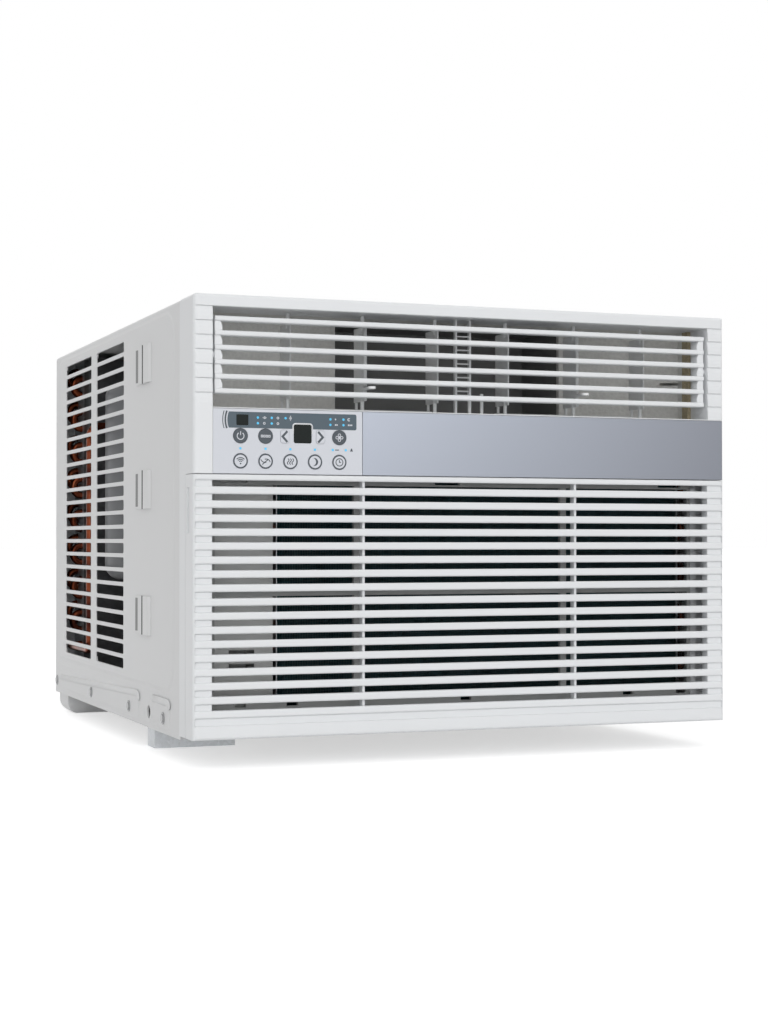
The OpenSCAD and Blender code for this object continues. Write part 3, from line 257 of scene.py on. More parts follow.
def key_dark(name):
    return moulded(name, finishes().key, 0.3, 2600.0, 0.000008, 0.0003)


def strip_slate(name):
    return moulded(name, (0.056, 0.088, 0.114), 0.28, 2600.0, 0.000005, 0.0003)


def filter_grey(name):
    return moulded(name, (0.46, 0.465, 0.46), 0.5)


def housing_black(name):
    return moulded(name, (0.24, 0.242, 0.242), 0.5, 900.0, 0.00003)


def zinc(name, colour):
    """Hot-dip zinc: flat crystals that each catch the light a little differently."""
    look = Look(name, Metallic=0.85)
    crystals = look.cells(260.0).out("Color")
    shade = look.node("SeparateXYZ", None, crystals)
    look.set(Base_Color=look.tint(colour, shade, 0.09), Roughness=shade * 0.14 + 0.38)
    look.relief(look.noise(260.0, 3.0), 0.00003, 0.0006)
    return look.material


def galvanised(name):
    return zinc(name, (0.56, 0.58, 0.60))


# Painted shade: the galvanised zinc made far darker, for plates deep inside the unit.
def dull_zinc(name):
    return zinc(name, (0.13, 0.133, 0.137))


def turned_steel(name, colour, roughness, rings=0.0):
    """Plain bright metal with fine scratches."""
    look = Look(name, Metallic=1.0)
    scratches = look.noise(900.0, 4.0, 0.7, (1.0, 0.06, 1.0))
    look.set(
        Base_Color=look.tint(colour, scratches, 0.12),
        Roughness=scratches * 0.22 + (roughness - 0.1),
    )
    look.relief(scratches, 0.00001, 0.0003)
    return look.material


def screw_steel(name):
    return turned_steel(name, (0.36, 0.365, 0.37), 0.34)


def motor_metal(name):
    return turned_steel(name, (0.30, 0.31, 0.33), 0.42)


def capacitor_can(name):
    return turned_steel(name, (0.62, 0.63, 0.65), 0.36)


def silver_trim(name):
    """Silver film over the band, with a painted reflection that fades from its light end to its dark end
    along the band, a little painted shade towards its lower edge, and a very fine grain.
    """
    look = Look(name, Metallic=0.35, Roughness=0.36)
    low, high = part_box("silver_trim")
    along = look.span(look.axis("X"), low.x, high.x)
    painted_shade_below = look.span(look.axis("Z"), high.z, low.z)
    # painted reflection: the film's colour fades from light to dark along the band, in place of a real
    # reflection
    film = look.blend(along, finishes().film_light, finishes().film_dark)
    # painted shade: the film gets a little darker towards the lower edge of the band
    film = look.blend(painted_shade_below * 0.12, film, (0.10, 0.11, 0.13))
    flakes = look.noise(2400.0, 1.0)
    look.set(Base_Color=look.blend(flakes * 0.10, film, (0.30, 0.30, 0.33)))
    look.relief(look.noise(1500.0, 2.0, 0.5, (0.03, 1.0, 1.0)), 0.000008, 0.0004)
    return look.material


def dark_lens(name):
    """Smoked window over the digits and the remote receiver."""
    look = Look(name, Specular_IOR_Level=0.12)
    haze = look.noise(300.0, 2.0)
    look.set(Base_Color=look.tint((0.010, 0.014, 0.013), haze, 0.2), Roughness=haze * 0.05 + 0.22)
    look.relief(haze, 0.000004, 0.0003)
    return look.material


def lamp_cyan(name):
    """Lamp caps that glow a cool blue."""
    look = Look(name, Roughness=0.3, Emission_Strength=0.25)
    glow = look.noise(350.0, 1.0)
    look.set(Base_Color=look.tint((0.10, 0.52, 0.80), glow, 0.15))
    look.set(Emission_Color=look.tint((0.08, 0.50, 0.80), glow, 0.1))
    look.relief(glow, 0.000004)
    return look.material


def circuit_green(name):
    """Solder mask over copper tracks that run along the board."""
    look = Look(name, Roughness=0.35)
    tracks = look.node("TexBrick", {"offset": 0.37}, Vector=look.place, Scale=90.0, Mortar_Size=0.012)
    look.set(Base_Color=look.blend(tracks.out("Fac"), (0.012, 0.085, 0.035), (0.03, 0.17, 0.07)))
    look.relief(tracks.out("Fac"), 0.00003)
    return look.material


def filter_net(name):
    """Knitted nylon threads."""
    look = Look(name, Roughness=0.6)
    knots = look.noise(1500.0, 2.0)
    look.set(Base_Color=look.tint((0.07, 0.09, 0.095), knots, 0.25))
    look.relief(knots, 0.00003)
    return look.material


def foam(name, colour, cell, depth, spread):
    """Expanded foam: small round cells over the whole surface."""
    look = Look(name, Roughness=0.85)
    cells = look.cells(cell)
    look.set(Base_Color=look.tint(colour, cells + look.noise(14.0) * 0.5 - 0.25, spread))
    look.relief(1 - cells, depth, 0.001)
    return look.material


def duct_foam(name):
    return foam(name, (0.80, 0.795, 0.77), 260.0, 0.00025, 0.06)


def seal_foam(name):
    return foam(name, (0.46, 0.39, 0.26), 700.0, 0.0003, 0.25)


def finned(name, colour, metallic):
    """Rolled fin stock with drawn lines from the fin press."""
    look = Look(name, Metallic=metallic, Roughness=0.42)
    patches = look.noise(30.0, 4.0, 0.65)
    look.set(Base_Color=look.tint(colour, patches, 0.22))
    look.relief(look.noise(1200.0, 2.0, 0.5, (1.0, 1.0, 0.05)), 0.00002)
    return look.material


def fin_blue(name):
    return finned(name, (0.035, 0.125, 0.145), 0.3)


def fin_plain(name):
    return finned(name, (0.36, 0.38, 0.40), 0.9)


def copper(name):
    """Drawn copper tube with random patches of darker oxide, its colours kept dark all over as painted shade
    for tubes deep inside the unit.
    """
    look = Look(name, Metallic=1.0)
    oxide = look.noise(26.0, 5.0, 0.6)
    # painted shade: all the stops are darker than bare copper, for the shade inside the unit; the noise
    # between them gives random oxide patches
    skin = look.node(
        "ValToRGB",
        {"stops": [(0.34, (0.045, 0.011, 0.008)), (0.58, (0.22, 0.055, 0.024)), (0.80, (0.50, 0.18, 0.08))]},
        oxide,
    )
    look.set(Base_Color=skin, Roughness=0.42 - oxide * 0.2)
    look.relief(look.noise(500.0, 3.0), 0.00002)
    return look.material


def black_steel(name):
    return sheet_paint(name, (0.016, 0.017, 0.018), 0.36)


def grey_steel(name):
    return sheet_paint(name, (0.22, 0.225, 0.235), 0.38)


def rubber_black(name):
    return moulded(name, (0.016, 0.016, 0.017), 0.72, 700.0, 0.00005)


FINISHES = {
    maker.__name__: maker
    for maker in (
        cabinet_paint, galvanised, dull_zinc, screw_steel, white_abs, vane_abs, panel_abs, key_dark,
        strip_slate, dark_lens, lamp_cyan, silver_trim, circuit_green, filter_grey, filter_net,
        box_grey, capacitor_can, duct_foam, seal_foam, housing_black, motor_metal, fin_blue, fin_plain,
        copper, black_steel, grey_steel, rubber_black,
    )
}


def finish_of(slot):
    """The material of a finish, made on its first use."""
    name = slot + "_look"
    return bpy.data.materials.get(name) or FINISHES[slot](name)


def dress(*names, finish=None):
    """Gives CAD nodes the material of their slot, or this one."""
    for name in names:
        for slot in NODES[name].material_slots:
            slot.material = finish_of(finish or SLOT_OF[name])


# ---------------------------------------------------------------- mesh helpers


def add_piece(name, bm, slot, body, smooth=False):
    """Makes the mesh a piece with this finish, moving with this body."""
    bmesh.ops.recalc_face_normals(bm, faces=bm.faces)
    mesh = bpy.data.meshes.new(name)
    bm.to_mesh(mesh)
    bm.free()
    if smooth:
        mesh.shade_smooth()
    piece = bpy.data.objects.new(name, mesh)
    bpy.context.scene.collection.objects.link(piece)
    mesh.materials.append(finish_of(slot))
    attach(piece, body)
    return piece


def close_loop(bm, near, far):
    """Faces between two rings of vertices."""
    count = len(near)
    for k in range(count):
        bm.faces.new((near[k], near[(k + 1) % count], far[(k + 1) % count], far[k]))


def slab(bm, outline, front, back):
    """A flat plate with this outline in the XZ plane, between two depths."""
    near = [bm.verts.new((x, front, z)) for x, z in outline]
    far = [bm.verts.new((x, back, z)) for x, z in outline]
    bm.faces.new(near)
    bm.faces.new(list(reversed(far)))
    close_loop(bm, near, far)


def block(bm, low, high):
    """A box between two corners."""
    outline = [(low[0], low[2]), (high[0], low[2]), (high[0], high[2]), (low[0], high[2])]
    slab(bm, outline, low[1], high[1])


def bar(bm, outline, ends):
    """An upright bar with this outline in the XY plane, between two heights, all in millimetres."""
    near, far = ([bm.verts.new((x * MM, y * MM, z * MM)) for x, y in outline] for z in ends)
    bm.faces.new(near)
    bm.faces.new(list(reversed(far)))
    close_loop(bm, near, far)


def ribbon(bm, points, width, front, back, closed=False):
    """A stroke of even width along points in the XZ plane, between two depths."""
    count = len(points)
    points = [Vector(p) for p in points]
    rings = []
    for i, here in enumerate(points):
        before = points[i - 1] if closed or i else None
        after = points[(i + 1) % count] if closed or i < count - 1 else None
        ahead = (after - here).normalized() if after else (here - before).normalized()
        behind = (here - before).normalized() if before else ahead
        across = Vector((-ahead.y, ahead.x))
        mitre = (across + Vector((-behind.y, behind.x))).normalized()
        side = mitre * (width / 2 / mitre.dot(across))
        corners = ((here + side, front), (here - side, front), (here - side, back), (here + side, back))
        rings.append([bm.verts.new((p.x, depth, p.y)) for p, depth in corners])
    for near, far in zip(rings, rings[1:] + rings[:1] if closed else rings[1:]):
        close_loop(bm, near, far)
    if not closed:
        bm.faces.new(rings[0])
        bm.faces.new(list(reversed(rings[-1])))


def arc(x, z, radius, start, end, steps=24):
    """Points on a circle in the XZ plane, between two angles in degrees."""
    turn = [math.radians(start + (end - start) * i / steps) for i in range(steps + 1)]
    return [(x + radius * math.cos(a), z + radius * math.sin(a)) for a in turn]


def ring(x, z, radius, steps=40):
    """Points all round a circle in the XZ plane."""
    return arc(x, z, radius, 0, 360, steps)[:-1]


# ---------------------------------------------------------------- properties


class FinishColours(PropertyGroup):
    """Main colours of the unit, and the two ends of the painted reflection along the silver band."""

    cabinet: FloatVectorProperty(
        name="Cabinet", description="Paint of the sheet-metal wrap", subtype="COLOR",
        size=3, min=0.0, max=1.0, default=(0.75, 0.755, 0.76),
    )
    bezel: FloatVectorProperty(
        name="Bezel", description="Plastic of the bezel, grille and louvre", subtype="COLOR",
        size=3, min=0.0, max=1.0, default=(0.80, 0.815, 0.83),
    )
    vanes: FloatVectorProperty(
        name="Vanes", description="Plastic of the vanes behind the louvre", subtype="COLOR",
        size=3, min=0.0, max=1.0, default=(0.80, 0.81, 0.81),
    )
    panel: FloatVectorProperty(
        name="Panel", description="Film of the control panel", subtype="COLOR",
        size=3, min=0.0, max=1.0, default=(0.67, 0.69, 0.74),
    )
    key: FloatVectorProperty(
        name="Dark keys", description="Filled buttons and printed symbols", subtype="COLOR",
        size=3, min=0.0, max=1.0, default=(0.05, 0.064, 0.08),
    )
    # Painted reflection: colour at the light end of the fade along the silver band.
    film_light: FloatVectorProperty(
        name="Film, light end", description="Silver band beside the control panel", subtype="COLOR",
        size=3, min=0.0, max=1.0, default=(0.44, 0.475, 0.55),
    )
    # Painted reflection: colour at the dark end of the fade along the silver band.
    film_dark: FloatVectorProperty(
        name="Film, dark end", description="Silver band at its far end", subtype="COLOR",
        size=3, min=0.0, max=1.0, default=(0.24, 0.255, 0.295),
    )


class PieceSizes(PropertyGroup):
    """Sizes of the fine pieces that the CAD model leaves out."""

    fin_pitch: FloatProperty(
        name="Fin pitch", description="From one coil fin to the next", unit="LENGTH",
        default=0.0018, min=0.0012, max=0.004, precision=4,
    )
    fin_sheet: FloatProperty(
        name="Fin sheet", description="Thickness of one coil fin", unit="LENGTH",
        default=0.00018, min=0.0001, max=0.0005, precision=5,
    )
    net_pitch: FloatProperty(
        name="Net pitch", description="From one thread of the filter to the next", unit="LENGTH",
        default=0.0026, min=0.001, max=0.005, precision=4,
    )
    net_thread: FloatProperty(
        name="Net thread", description="Width of one thread of the filter", unit="LENGTH",
        default=0.00011, min=0.0001, max=0.001, precision=5,
    )
    mark_width: FloatProperty(
        name="Mark width", description="Line width of the printed symbols", unit="LENGTH",
        default=0.0009, min=0.0003, max=0.0015, precision=5,
    )
    mark_height: FloatProperty(
        name="Mark height", description="How far the ink stands proud", unit="LENGTH",
        default=0.00006, min=0.00002, max=0.0002, precision=6,
    )


class StageSettings(PropertyGroup):
    """Camera and light."""

    camera_place: FloatVectorProperty(
        name="Camera", description="Where the camera stands", subtype="TRANSLATION", size=3,
        default=(-0.77579, -2.12592, 0.22710),
    )
    camera_heading: FloatProperty(
        name="Heading", description="Turn of the view from +Y towards +X", subtype="ANGLE",
        default=math.radians(20.8860),
    )
    camera_tilt: FloatProperty(
        name="Tilt", description="How far the view points up", subtype="ANGLE",
        default=math.radians(0.8712),
    )
    lens: FloatProperty(
        name="Lens", description="Focal length on a 36 mm frame", default=65.380, min=20, max=200,
    )
    sky: FloatProperty(
        name="Sky", description="Light that comes from all round", default=0.33, min=0, max=2,
    )
    key: FloatProperty(
        name="Key", description="Large soft lamp in front", default=1.55, min=0, max=10,
    )
    top: FloatProperty(
        name="Top", description="Large soft lamp above", default=0.7, min=0, max=10,
    )
    floor_lift: FloatProperty(
        name="Floor lift", description="Glow that makes the floor look white", default=0.55, min=0, max=1,
    )


def finishes():
    return bpy.context.scene.ac_finishes


def sizes():
    return bpy.context.scene.ac_sizes


# ---------------------------------------------------------------- pieces


class ACLOOKS_OT_case(Operator):
    """Paints the sheet-metal case"""

    bl_idname = "aclooks.case"
    bl_label = "Case"

    def execute(self, context):
        dress("sill_foot", "cabinet", "case_screws", "cord_bushing")
        dress("base_pan", finish="cabinet_paint")
        self.add_flaps()
        self.add_beads()
        return {"FINISHED"}

    def add_flaps(self):
        """Short bent tabs on the large flaps, with thin dark skins of painted shade: black where the slots
        beside them are, and grey on the face of the small flaps.
        """
        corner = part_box("cabinet")[1] / MM
        face = corner.x - FLAP_RISE
        front = corner.y - 533.0
        top = UNIT_TOP / MM
        inner = FLAP_RISE - 1.2
        tab = [(0.0, 0), (FLAP_RISE, 5), (FLAP_RISE, 26), (inner, 26), (inner, 6), (0.0, 1)]
        # painted shade: a black skin behind each large flap stands in for the shaded slot left by the
        # lancing
        slot = self.skin(30, 34, 0, FLAP_LENGTH / FLAP_RISE)
        # painted shade: a grey skin on the slope of each small flap stands in for the shade in its opening
        step = self.skin(56, 65, SMALL_FLAP_START, 8)
        for name, outline, shorter, slot_name in (
            ("side_flap_tabs", tab, 0, "cabinet_paint"),
            ("side_flap_painted_slot_shade", slot, 0, "rubber_black"),
            ("side_flap_painted_step_shade", step, 3, "housing_black"),
        ):
            half = FLAP_HEIGHT / 2 - shorter
            bm = bmesh.new()
            for side in (-1, 1):
                for drop in (53, 189, 325):
                    placed = [(side * (face + out), front + back) for out, back in outline]
                    bar(bm, placed, (top - drop - half, top - drop + half))
            add_piece(name, bm, slot_name, BODY_OF["cabinet"])

    def skin(self, start, end, foot, run):
        """Thin skin of painted shade on a sloping flap, from start to end; the flap rises 1 in run from its
        foot.
        """
        corners = ((-0.3, start), (0.08, start), (0.08, end), (-0.3, end))
        return [(out + (back - foot) / run, back) for out, back in corners]

    def add_beads(self):
        """Round stiffening beads low on both sides, each with a short tail that turns down."""
        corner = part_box("cabinet")[1] / MM
        face = corner.x - FLAP_RISE
        front = corner.y - 706.0
        level = UNIT_TOP / MM - 441.0
        section = [(-3.8, -0.2), (-3.2, 0.7), (-1.7, 1.5), (0, 1.8), (1.7, 1.5), (3.2, 0.7), (3.8, -0.2)]
        bm = bmesh.new()
        for side in (-1, 1):
            for line in (
                [(664, 17.5), (662, 17.6), (236, 29.5), (231, 28), (228, 24), (227, 22)],
                [(166, 29.5), (164, 29.5), (101, 29.5), (96, 28), (93, 25), (92, 24)],
            ):
                rings = []
                for i, here in enumerate(line):
                    before, after = line[max(i - 1, 0)], line[min(i + 1, len(line) - 1)]
                    along = (Vector(after) - Vector(before)).normalized()
                    size = 0.25 if i in (0, len(line) - 1) else 1.0
                    rings.append([
                        bm.verts.new((
                            side * (face + out * size) * MM,
                            (front + here[0] - along.y * across * size) * MM,
                            (level + here[1] + along.x * across * size) * MM,
                        ))
                        for across, out in section
                    ])
                for near, far in zip(rings, rings[1:]):
                    close_loop(bm, near, far)
                bm.faces.new(rings[0])
                bm.faces.new(list(reversed(rings[-1])))
        add_piece("side_beads", bm, "cabinet_paint", BODY_OF["cabinet"], smooth=True)


class ACLOOKS_OT_front(Operator):
    """Finishes the bezel and its silver band"""

    bl_idname = "aclooks.front"
    bl_label = "Front"

    def execute(self, context):
        dress("front_bezel", "silver_trim")
        return {"FINISHED"}


def power_symbol(w):
    return [(arc(0, -0.2, 3.5, 125, 415), w, False), ([(0, 0.6), (0, 4.4)], w, False)]


def mode_symbol(w):
    marks = []
    for x in (-3.9, -1.3, 1.3, 3.9):
        square = [(x - 0.75, -0.95), (x + 0.75, -0.95), (x + 0.75, 0.95), (x - 0.75, 0.95)]
        marks.append((square, w * 0.8, True))
    return marks


def down_symbol(w):
    return [([(2.5, 5.4), (-2.5, 0), (2.5, -5.4)], 2.2, False)]


def up_symbol(w):
    return [([(-2.5, 5.4), (2.5, 0), (-2.5, -5.4)], 2.2, False)]


def fan_symbol(w):
    blades = []
    for turn in range(0, 360, 90):
        a = math.radians(turn)
        blades.append((ring(2.5 * math.cos(a), 2.5 * math.sin(a), 1.35, 16), w * 0.8, True))
    return blades + [(ring(0, 0, 0.5, 12), w, True)]


def wireless_symbol(w):
    waves = [(arc(0, -2.4, r, 45, 135), w, False) for r in (2.2, 3.9, 5.6)]
    return waves + [(ring(0, -2.6, 0.35, 12), w, True)]


def leaf_symbol(w):
    upper = arc(0.6, -2.2, 4.4, 20, 110)
    lower = arc(-0.8, 3.2, 4.4, 200, 290)
    return [(upper, w, False), (lower, w, False), ([(-3.6, -3.4), (2.6, 1.8)], w, False)]


def swing_symbol(w):
    waves = []
    for x in (-2.4, 0, 2.4):
        heights = [i * 0.5 - 3 for i in range(13)]
        waves.append(([(x + 0.9 * math.sin(z * 1.1), z) for z in heights], w, False))
    return waves


def timer_symbol(w):
    return [(ring(0, 0, 3.7), w, True), ([(0, 2.4), (0, 0), (1.7, 0)], w, False)]


SYMBOLS = {
    "button_power": power_symbol,
    "button_mode": mode_symbol,
    "button_down": down_symbol,
    "button_up": up_symbol,
    "button_fan": fan_symbol,
    "button_wireless": wireless_symbol,
    "button_eco": leaf_symbol,
    "button_swing": swing_symbol,
    "button_sleep": None,
    "button_timer": timer_symbol,
}


def print_marks(name, place, strokes, plates, ink, node):
    """Prints strokes and filled plates, in millimetres from this place, on the front of a node."""
    proud = sizes().mark_height
    bm = bmesh.new()
    for points, stroke, closed in strokes:
        placed = [(place[0] + x * MM, place[2] + z * MM) for x, z in points]
        ribbon(bm, placed, stroke * MM, place[1] - proud, place[1] + proud, closed)
    for points in plates:
        placed = [(place[0] + x * MM, place[2] + z * MM) for x, z in points]
        slab(bm, placed, place[1] - proud, place[1] + proud)
    add_piece(name, bm, ink, BODY_OF[node])


class ACLOOKS_OT_controls(Operator):
    """Finishes the control panel and prints a symbol on each button"""

    bl_idname = "aclooks.controls"
    bl_label = "Controls"

    def execute(self, context):
        dress("control_panel", "indicator_strip", "digit_window", "receiver_window", "status_leds")
        dress("display_board", *SYMBOLS)
        for node in SYMBOLS:
            self.print_symbol(node)
        self.print_panel()
        return {"FINISHED"}

    def print_symbol(self, node):
        low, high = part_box(node)
        middle = (low + high) / 2
        width = sizes().mark_width / MM
        dark_key = SLOT_OF[node] == "key_dark"
        strokes = SYMBOLS[node](width) if SYMBOLS[node] else []
        if not dark_key and node not in ("button_down", "button_up"):
            rim = (high.x - low.x) / 2 / MM - width * 0.75
            strokes.append((ring(0, 0, rim, 48), width * 1.5, True))
        plates = []
        if node == "button_sleep":
            moon = arc(0, 0, 4.0, -100, 100) + list(reversed(arc(-2.2, 0, 4.0, -70, 70)))
            plates.append([(x - 0.8, z) for x, z in moon])
        if strokes:
            ink = "panel_abs" if dark_key else "key_dark"
            print_marks(node + "_symbol", (middle.x, low.y, middle.z), strokes, plates, ink, node)

    def print_panel(self):
        """Arcs beside the strip, the surround of the digits and a small sign at each lamp."""
        low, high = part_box("indicator_strip")
        width = sizes().mark_width / MM
        height = (high.z - low.z) / MM
        arcs = [
            (arc(22, height / 2, 24.1, 159, 201), width * 1.9, False),
            (arc(22, height / 2, 26.8, 161, 199), width, False),
        ]
        print_marks("strip_arcs", (low.x, low.y, low.z), arcs, [], "key_dark", "control_panel")
        signs = []
        for x, z in ((38.5, 10.6), (38.2, 5.0), (52.4, 10.6), (52.4, 5.0), (65.6, 10.6)):
            signs.append((ring(x, z, 1.0, 12), width * 0.8, True))
        signs.append(([(36.4, 10.6), (40.6, 10.6)], width, False))
        signs.append(([(65.6, 8.2), (65.6, 13.2)], width, False))
        for x, z, bars in ((113.4, 10.6, 1), (113.4, 5.0, 2), (127.4, 5.0, 3)):
            for k in range(bars):
                signs.append(([(x + k * 1.7, z - 0.8), (x + k * 1.7, z + 0.8)], width * 1.4, False))
        signs.append((arc(127.8, 10.6, 1.2, 40, 320), width, False))
        print_marks("strip_signs", (low.x, low.y, low.z), signs, [], "panel_abs", "indicator_strip")
        self.print_surround()
        low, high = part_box("button_timer")
        lamps_above = 12.4 * MM
        place = ((low.x + high.x) / 2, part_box("control_panel")[0].y, (low.z + high.z) / 2 + lamps_above)
        bell = [(11.4, -1.2), (14.8, -1.2), (14.0, 0.2), (13.7, 1.8), (12.5, 1.8), (12.2, 0.2)]
        dash = [([(-4.4, 0), (-0.4, 0)], width, False)]
        print_marks("lamp_signs", place, dash, [bell], "key_dark", "control_panel")

    def print_surround(self):
        """Pale line round the upper half of the digit window."""
        low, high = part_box("digit_window")
        line_width = 1.3
        radius = 2.6
        side = (high.x - low.x) / 2 / MM + line_width / 2
        up = (high.z - low.z) / MM
        corner_x = side - radius
        corner_z = up + line_width / 2 - radius
        line = [(side, up / 2)]
        line += arc(corner_x, corner_z, radius, 0, 90, 8) + arc(-corner_x, corner_z, radius, 90, 180, 8)
        line += [(-side, up / 2)]
        place = ((low.x + high.x) / 2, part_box("control_panel")[0].y, low.z)
        print_marks("digit_surround", place, [(line, line_width, False)], [], "white_abs", "control_panel")


class ACLOOKS_OT_outlet(Operator):
    """Finishes the louvre, the vanes and the duct behind them"""

    bl_idname = "aclooks.outlet"
    bl_label = "Air outlet"

    def execute(self, context):
        vanes = [name for name in NODES if name.startswith(("vane_", "link_"))]
        dress("louver_frame", "centre_brace", "outlet_duct", "foam_seals", *vanes)
        self.add_brace_rungs()
        for name in ("vane_2", "vane_5"):
            self.add_lip(name)
        return {"FINISHED"}

    def add_brace_rungs(self):
        """Thin rungs between the two uprights of the brace, a pair behind each gap of the louvre."""
        low, high = (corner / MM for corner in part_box("centre_brace"))
        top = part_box("louver_frame")[1].z / MM - 2.5
        louvre_pitch = 14.4
        half_wide = 7.2
        half_thick = 0.7
        front, back = low.y + 0.8, high.y - 0.8
        outline = [(-half_wide, front), (half_wide, front), (half_wide, back), (-half_wide, back)]
        bm = bmesh.new()
        for gap in range(5):
            for drop in (5.6, 10.0):
                z = top - louvre_pitch * gap - drop
                bar(bm, outline, (z - half_thick, z + half_thick))
        add_piece("brace_rungs", bm, "vane_abs", BODY_OF["centre_brace"])

    def add_lip(self, name):
        """Thick rounded front edge of a vane that carries a lever."""
        low, high = (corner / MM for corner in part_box(name))
        middle = (low.x + high.x) / 2
        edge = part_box("vane_1")[0].y / MM + 0.4
        half_wide, half_deep = 1.8, 1.5
        outline = [(middle + half_wide * math.cos(a), edge + half_deep * math.sin(a)) for a in TURN]
        bm = bmesh.new()
        bar(bm, outline, (low.z + 14.4, high.z - 13.4))
        add_piece(name + "_lip", bm, "vane_abs", BODY_OF[name], smooth=True)


class ACLOOKS_OT_intake(Operator):
    """Finishes the grille and knits the filter's net"""

    bl_idname = "aclooks.intake"
    bl_label = "Air intake"

    def execute(self, context):
        dress("intake_grille", "filter_frame")
        low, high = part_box("filter_mesh")
        low.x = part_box("control_box")[1].x
        pitch = sizes().net_pitch
        half = sizes().net_thread / 2
        middle = (low.y + high.y) / 2
        bm = bmesh.new()
        across = int((high.x - low.x) / pitch)
        for i in range(1, across):
            x = low.x + (high.x - low.x) * i / across
            block(bm, (x - half, middle - half, low.z), (x + half, middle + half, high.z))
        up = int((high.z - low.z) / pitch)
        for i in range(1, up):
            z = low.z + (high.z - low.z) * i / up
            block(bm, (low.x, middle - 2 * half, z - half), (high.x, middle, z + half))
        net = add_piece("filter_net", bm, "filter_net", BODY_OF["filter_mesh"])
        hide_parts("filter_mesh")
        return {"FINISHED"}


def fin_pack(name, node, waves):
    """Thin wavy fins through a coil's box, in place of the CAD comb, between two end plates."""
    low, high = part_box(node)
    pitch = sizes().fin_pitch
    thick = sizes().fin_sheet
    plate = 0.001
    count = int((high.x - low.x - 2 * plate) / pitch)
    steps = waves * 2
    swing = 0.3 * pitch
    bm = bmesh.new()
    for i in range(1, count):
        x = low.x + plate + (high.x - low.x - 2 * plate) * i / count
        rings = []
        for k in range(steps + 1):
            y = low.y + (high.y - low.y) * k / steps
            bend = x + (swing if k % 2 else -swing)
            corners = ((bend, low.z), (bend + thick, low.z), (bend + thick, high.z), (bend, high.z))
            rings.append([bm.verts.new((u, y, z)) for u, z in corners])
        for near, far in zip(rings, rings[1:]):
            close_loop(bm, near, far)
        bm.faces.new(rings[0])
        bm.faces.new(list(reversed(rings[-1])))
    fins = add_piece(name, bm, SLOT_OF[node], BODY_OF[node])
    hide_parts(node)
    ends = bmesh.new()
    for x in (low.x, high.x - plate):
        block(ends, (x, low.y, low.z), (x + plate, high.y, high.z))
    add_piece(name + "_end_plates", ends, "galvanised", BODY_OF[node])


class ACLOOKS_OT_coils(Operator):
    """Packs both coils with thin fins and finishes their bends"""

    bl_idname = "aclooks.coils"
    bl_label = "Coils"

    def execute(self, context):
        fin_pack("room_coil_fins", "evaporator_fins", 4)
        fin_pack("outdoor_coil_fins", "condenser_fins", 5)
        dress("evaporator_bends", "condenser_bends", "drain_tray")
        return {"FINISHED"}


class ACLOOKS_OT_airflow(Operator):
    """Finishes the fans, their motor and the plates around them"""

    bl_idname = "aclooks.airflow"
    bl_label = "Fans"

    def execute(self, context):
        dress("blower_housing", "blower_wheel", "fan_shaft", "fan_motor", "outdoor_fan")
        # painted shade: these inside plates take the darkened copy of the galvanised zinc
        dress("motor_bracket", "fan_shroud", "bulkhead", finish="dull_zinc")
        return {"FINISHED"}


class ACLOOKS_OT_cooling(Operator):
    """Finishes the compressor and its pipes"""

    bl_idname = "aclooks.cooling"
    bl_label = "Compressor"

    def execute(self, context):
        dress("compressor", "compressor_mounts", "accumulator", "suction_pipe", "discharge_pipe")
        return {"FINISHED"}


class ACLOOKS_OT_electrics(Operator):
    """Finishes the control box and what it holds"""

    bl_idname = "aclooks.electrics"
    bl_label = "Electrics"

    def execute(self, context):
        dress("control_box", "power_board", "run_capacitor")
        return {"FINISHED"}


# ---------------------------------------------------------------- stage


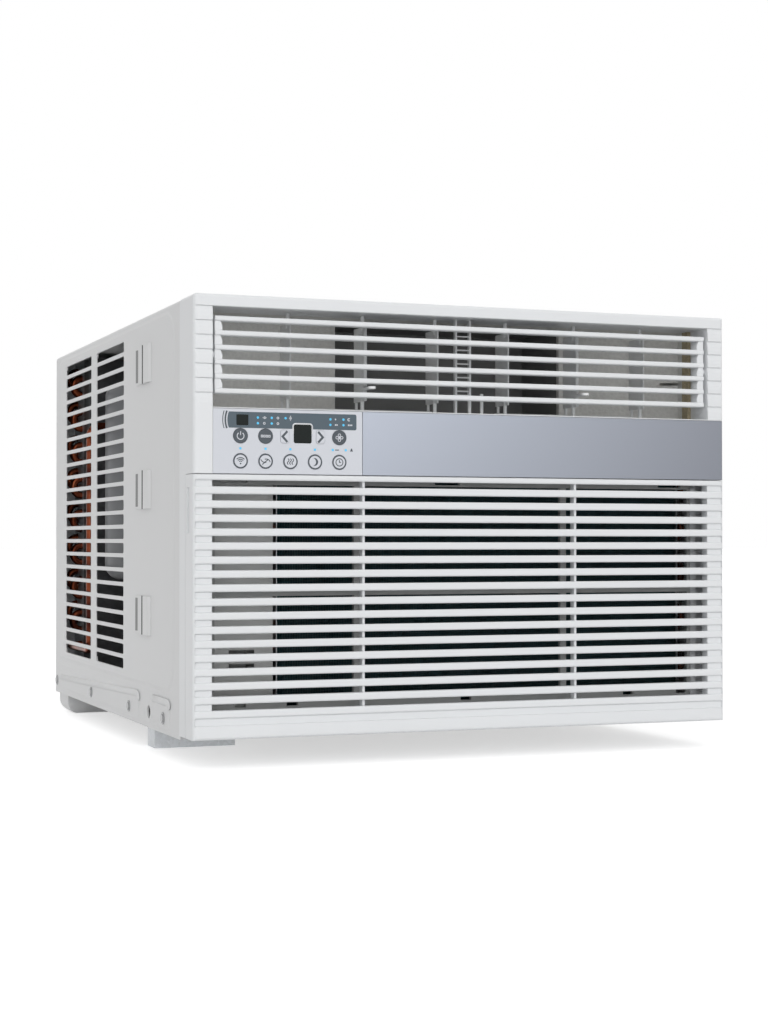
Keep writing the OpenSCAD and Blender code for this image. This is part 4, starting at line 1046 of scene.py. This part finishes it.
class ACLOOKS_OT_stage(Operator):
    """Sets up the floor, the light and the camera"""

    bl_idname = "aclooks.stage"
    bl_label = "Stage"

    def execute(self, context):
        settings = context.scene.ac_stage
        self.make_floor(settings)
        self.make_sky(context.scene, settings)
        self.make_lamp("key_lamp", settings.key, (-0.2, -1.0, 0.3), 70)
        self.make_lamp("top_lamp", settings.top, (-0.1, -0.2, 1.0), 90)
        self.make_camera(context.scene, settings)
        context.scene.view_settings.view_transform = "Standard"
        return {"FINISHED"}

    def seen(self, tree):
        """1 for what is seen straight, in gloss or through glass; 0 for the light that falls on things."""
        path = tree.nodes.new("ShaderNodeLightPath")
        total = path.outputs["Is Camera Ray"]
        for name in ("Is Glossy Ray", "Is Transmission Ray"):
            either = tree.nodes.new("ShaderNodeMath")
            either.operation = "MAXIMUM"
            tree.links.new(total, either.inputs[0])
            tree.links.new(path.outputs[name], either.inputs[1])
            total = either.outputs[0]
        return total

    def make_floor(self, settings):
        """Pale floor that looks white where nothing shades it."""
        bm = bmesh.new()
        bmesh.ops.create_grid(bm, x_segments=2, y_segments=2, size=40.0)
        mesh = bpy.data.meshes.new("floor")
        bm.to_mesh(mesh)
        bm.free()
        floor = bpy.data.objects.new("floor", mesh)
        bpy.context.scene.collection.objects.link(floor)
        look = Look("floor_look", Base_Color=(0.86, 0.86, 0.86), Roughness=1.0)
        look.set(Emission_Strength=settings.floor_lift)
        look.tree.links.new(self.seen(look.tree), look.shader.inputs["Emission Color"])
        mesh.materials.append(look.material)

    def make_sky(self, scene, settings):
        """Even light from all round, white where the sky itself is seen."""
        world = bpy.data.worlds.new("sky")
        world.use_nodes = True
        scene.world = world
        tree = world.node_tree
        level = tree.nodes.new("ShaderNodeMapRange")
        level.inputs["To Min"].default_value = settings.sky
        level.inputs["To Max"].default_value = 1.0
        tree.links.new(self.seen(tree), level.inputs["Value"])
        background = tree.nodes["Background"]
        background.inputs["Color"].default_value = (1.0, 1.0, 1.0, 1.0)
        tree.links.new(level.outputs[0], background.inputs["Strength"])

    def make_lamp(self, name, strength, towards, softness):
        """A very wide sun, so that the light is the same all over the floor."""
        lamp = bpy.data.lights.new(name, "SUN")
        lamp.energy = strength
        lamp.angle = math.radians(softness)
        holder = bpy.data.objects.new(name, lamp)
        holder.rotation_euler = Vector(towards).to_track_quat("Z", "Y").to_euler()
        bpy.context.scene.collection.objects.link(holder)

    def make_camera(self, scene, settings):
        lens = bpy.data.cameras.new("camera")
        lens.lens = settings.lens
        lens.sensor_width = 36.0
        camera = bpy.data.objects.new("camera", lens)
        camera.location = settings.camera_place
        camera.rotation_euler = (math.pi / 2 + settings.camera_tilt, 0.0, -settings.camera_heading)
        scene.collection.objects.link(camera)
        scene.camera = camera


STEPS = (
    ACLOOKS_OT_stage, ACLOOKS_OT_case, ACLOOKS_OT_front, ACLOOKS_OT_controls, ACLOOKS_OT_outlet,
    ACLOOKS_OT_intake, ACLOOKS_OT_coils, ACLOOKS_OT_airflow, ACLOOKS_OT_cooling, ACLOOKS_OT_electrics,
)


class ACLOOKS_PT_panel(Panel):
    """Lists the steps that build the looks"""

    bl_label = "Air Conditioner"
    bl_idname = "ACLOOKS_PT_panel"
    bl_space_type = "VIEW_3D"
    bl_region_type = "UI"
    bl_category = "Air Conditioner"

    def draw(self, context):
        for step in STEPS:
            self.layout.operator(step.bl_idname)
        for group in (context.scene.ac_finishes, context.scene.ac_sizes, context.scene.ac_stage):
            for name in group.__annotations__:
                self.layout.prop(group, name)


GROUPS = {"ac_finishes": FinishColours, "ac_sizes": PieceSizes, "ac_stage": StageSettings}


def register():
    for cls in (*GROUPS.values(), *STEPS, ACLOOKS_PT_panel):
        bpy.utils.register_class(cls)
    for name, group in GROUPS.items():
        setattr(bpy.types.Scene, name, PointerProperty(type=group))


def unregister():
    for name in GROUPS:
        delattr(bpy.types.Scene, name)
    for cls in (ACLOOKS_PT_panel, *reversed(STEPS), *reversed(GROUPS.values())):
        bpy.utils.unregister_class(cls)


def main():
    register()
    for step in STEPS:
        getattr(bpy.ops.aclooks, step.bl_idname.split(".")[1])()


if __name__ == "__main__":
    main()
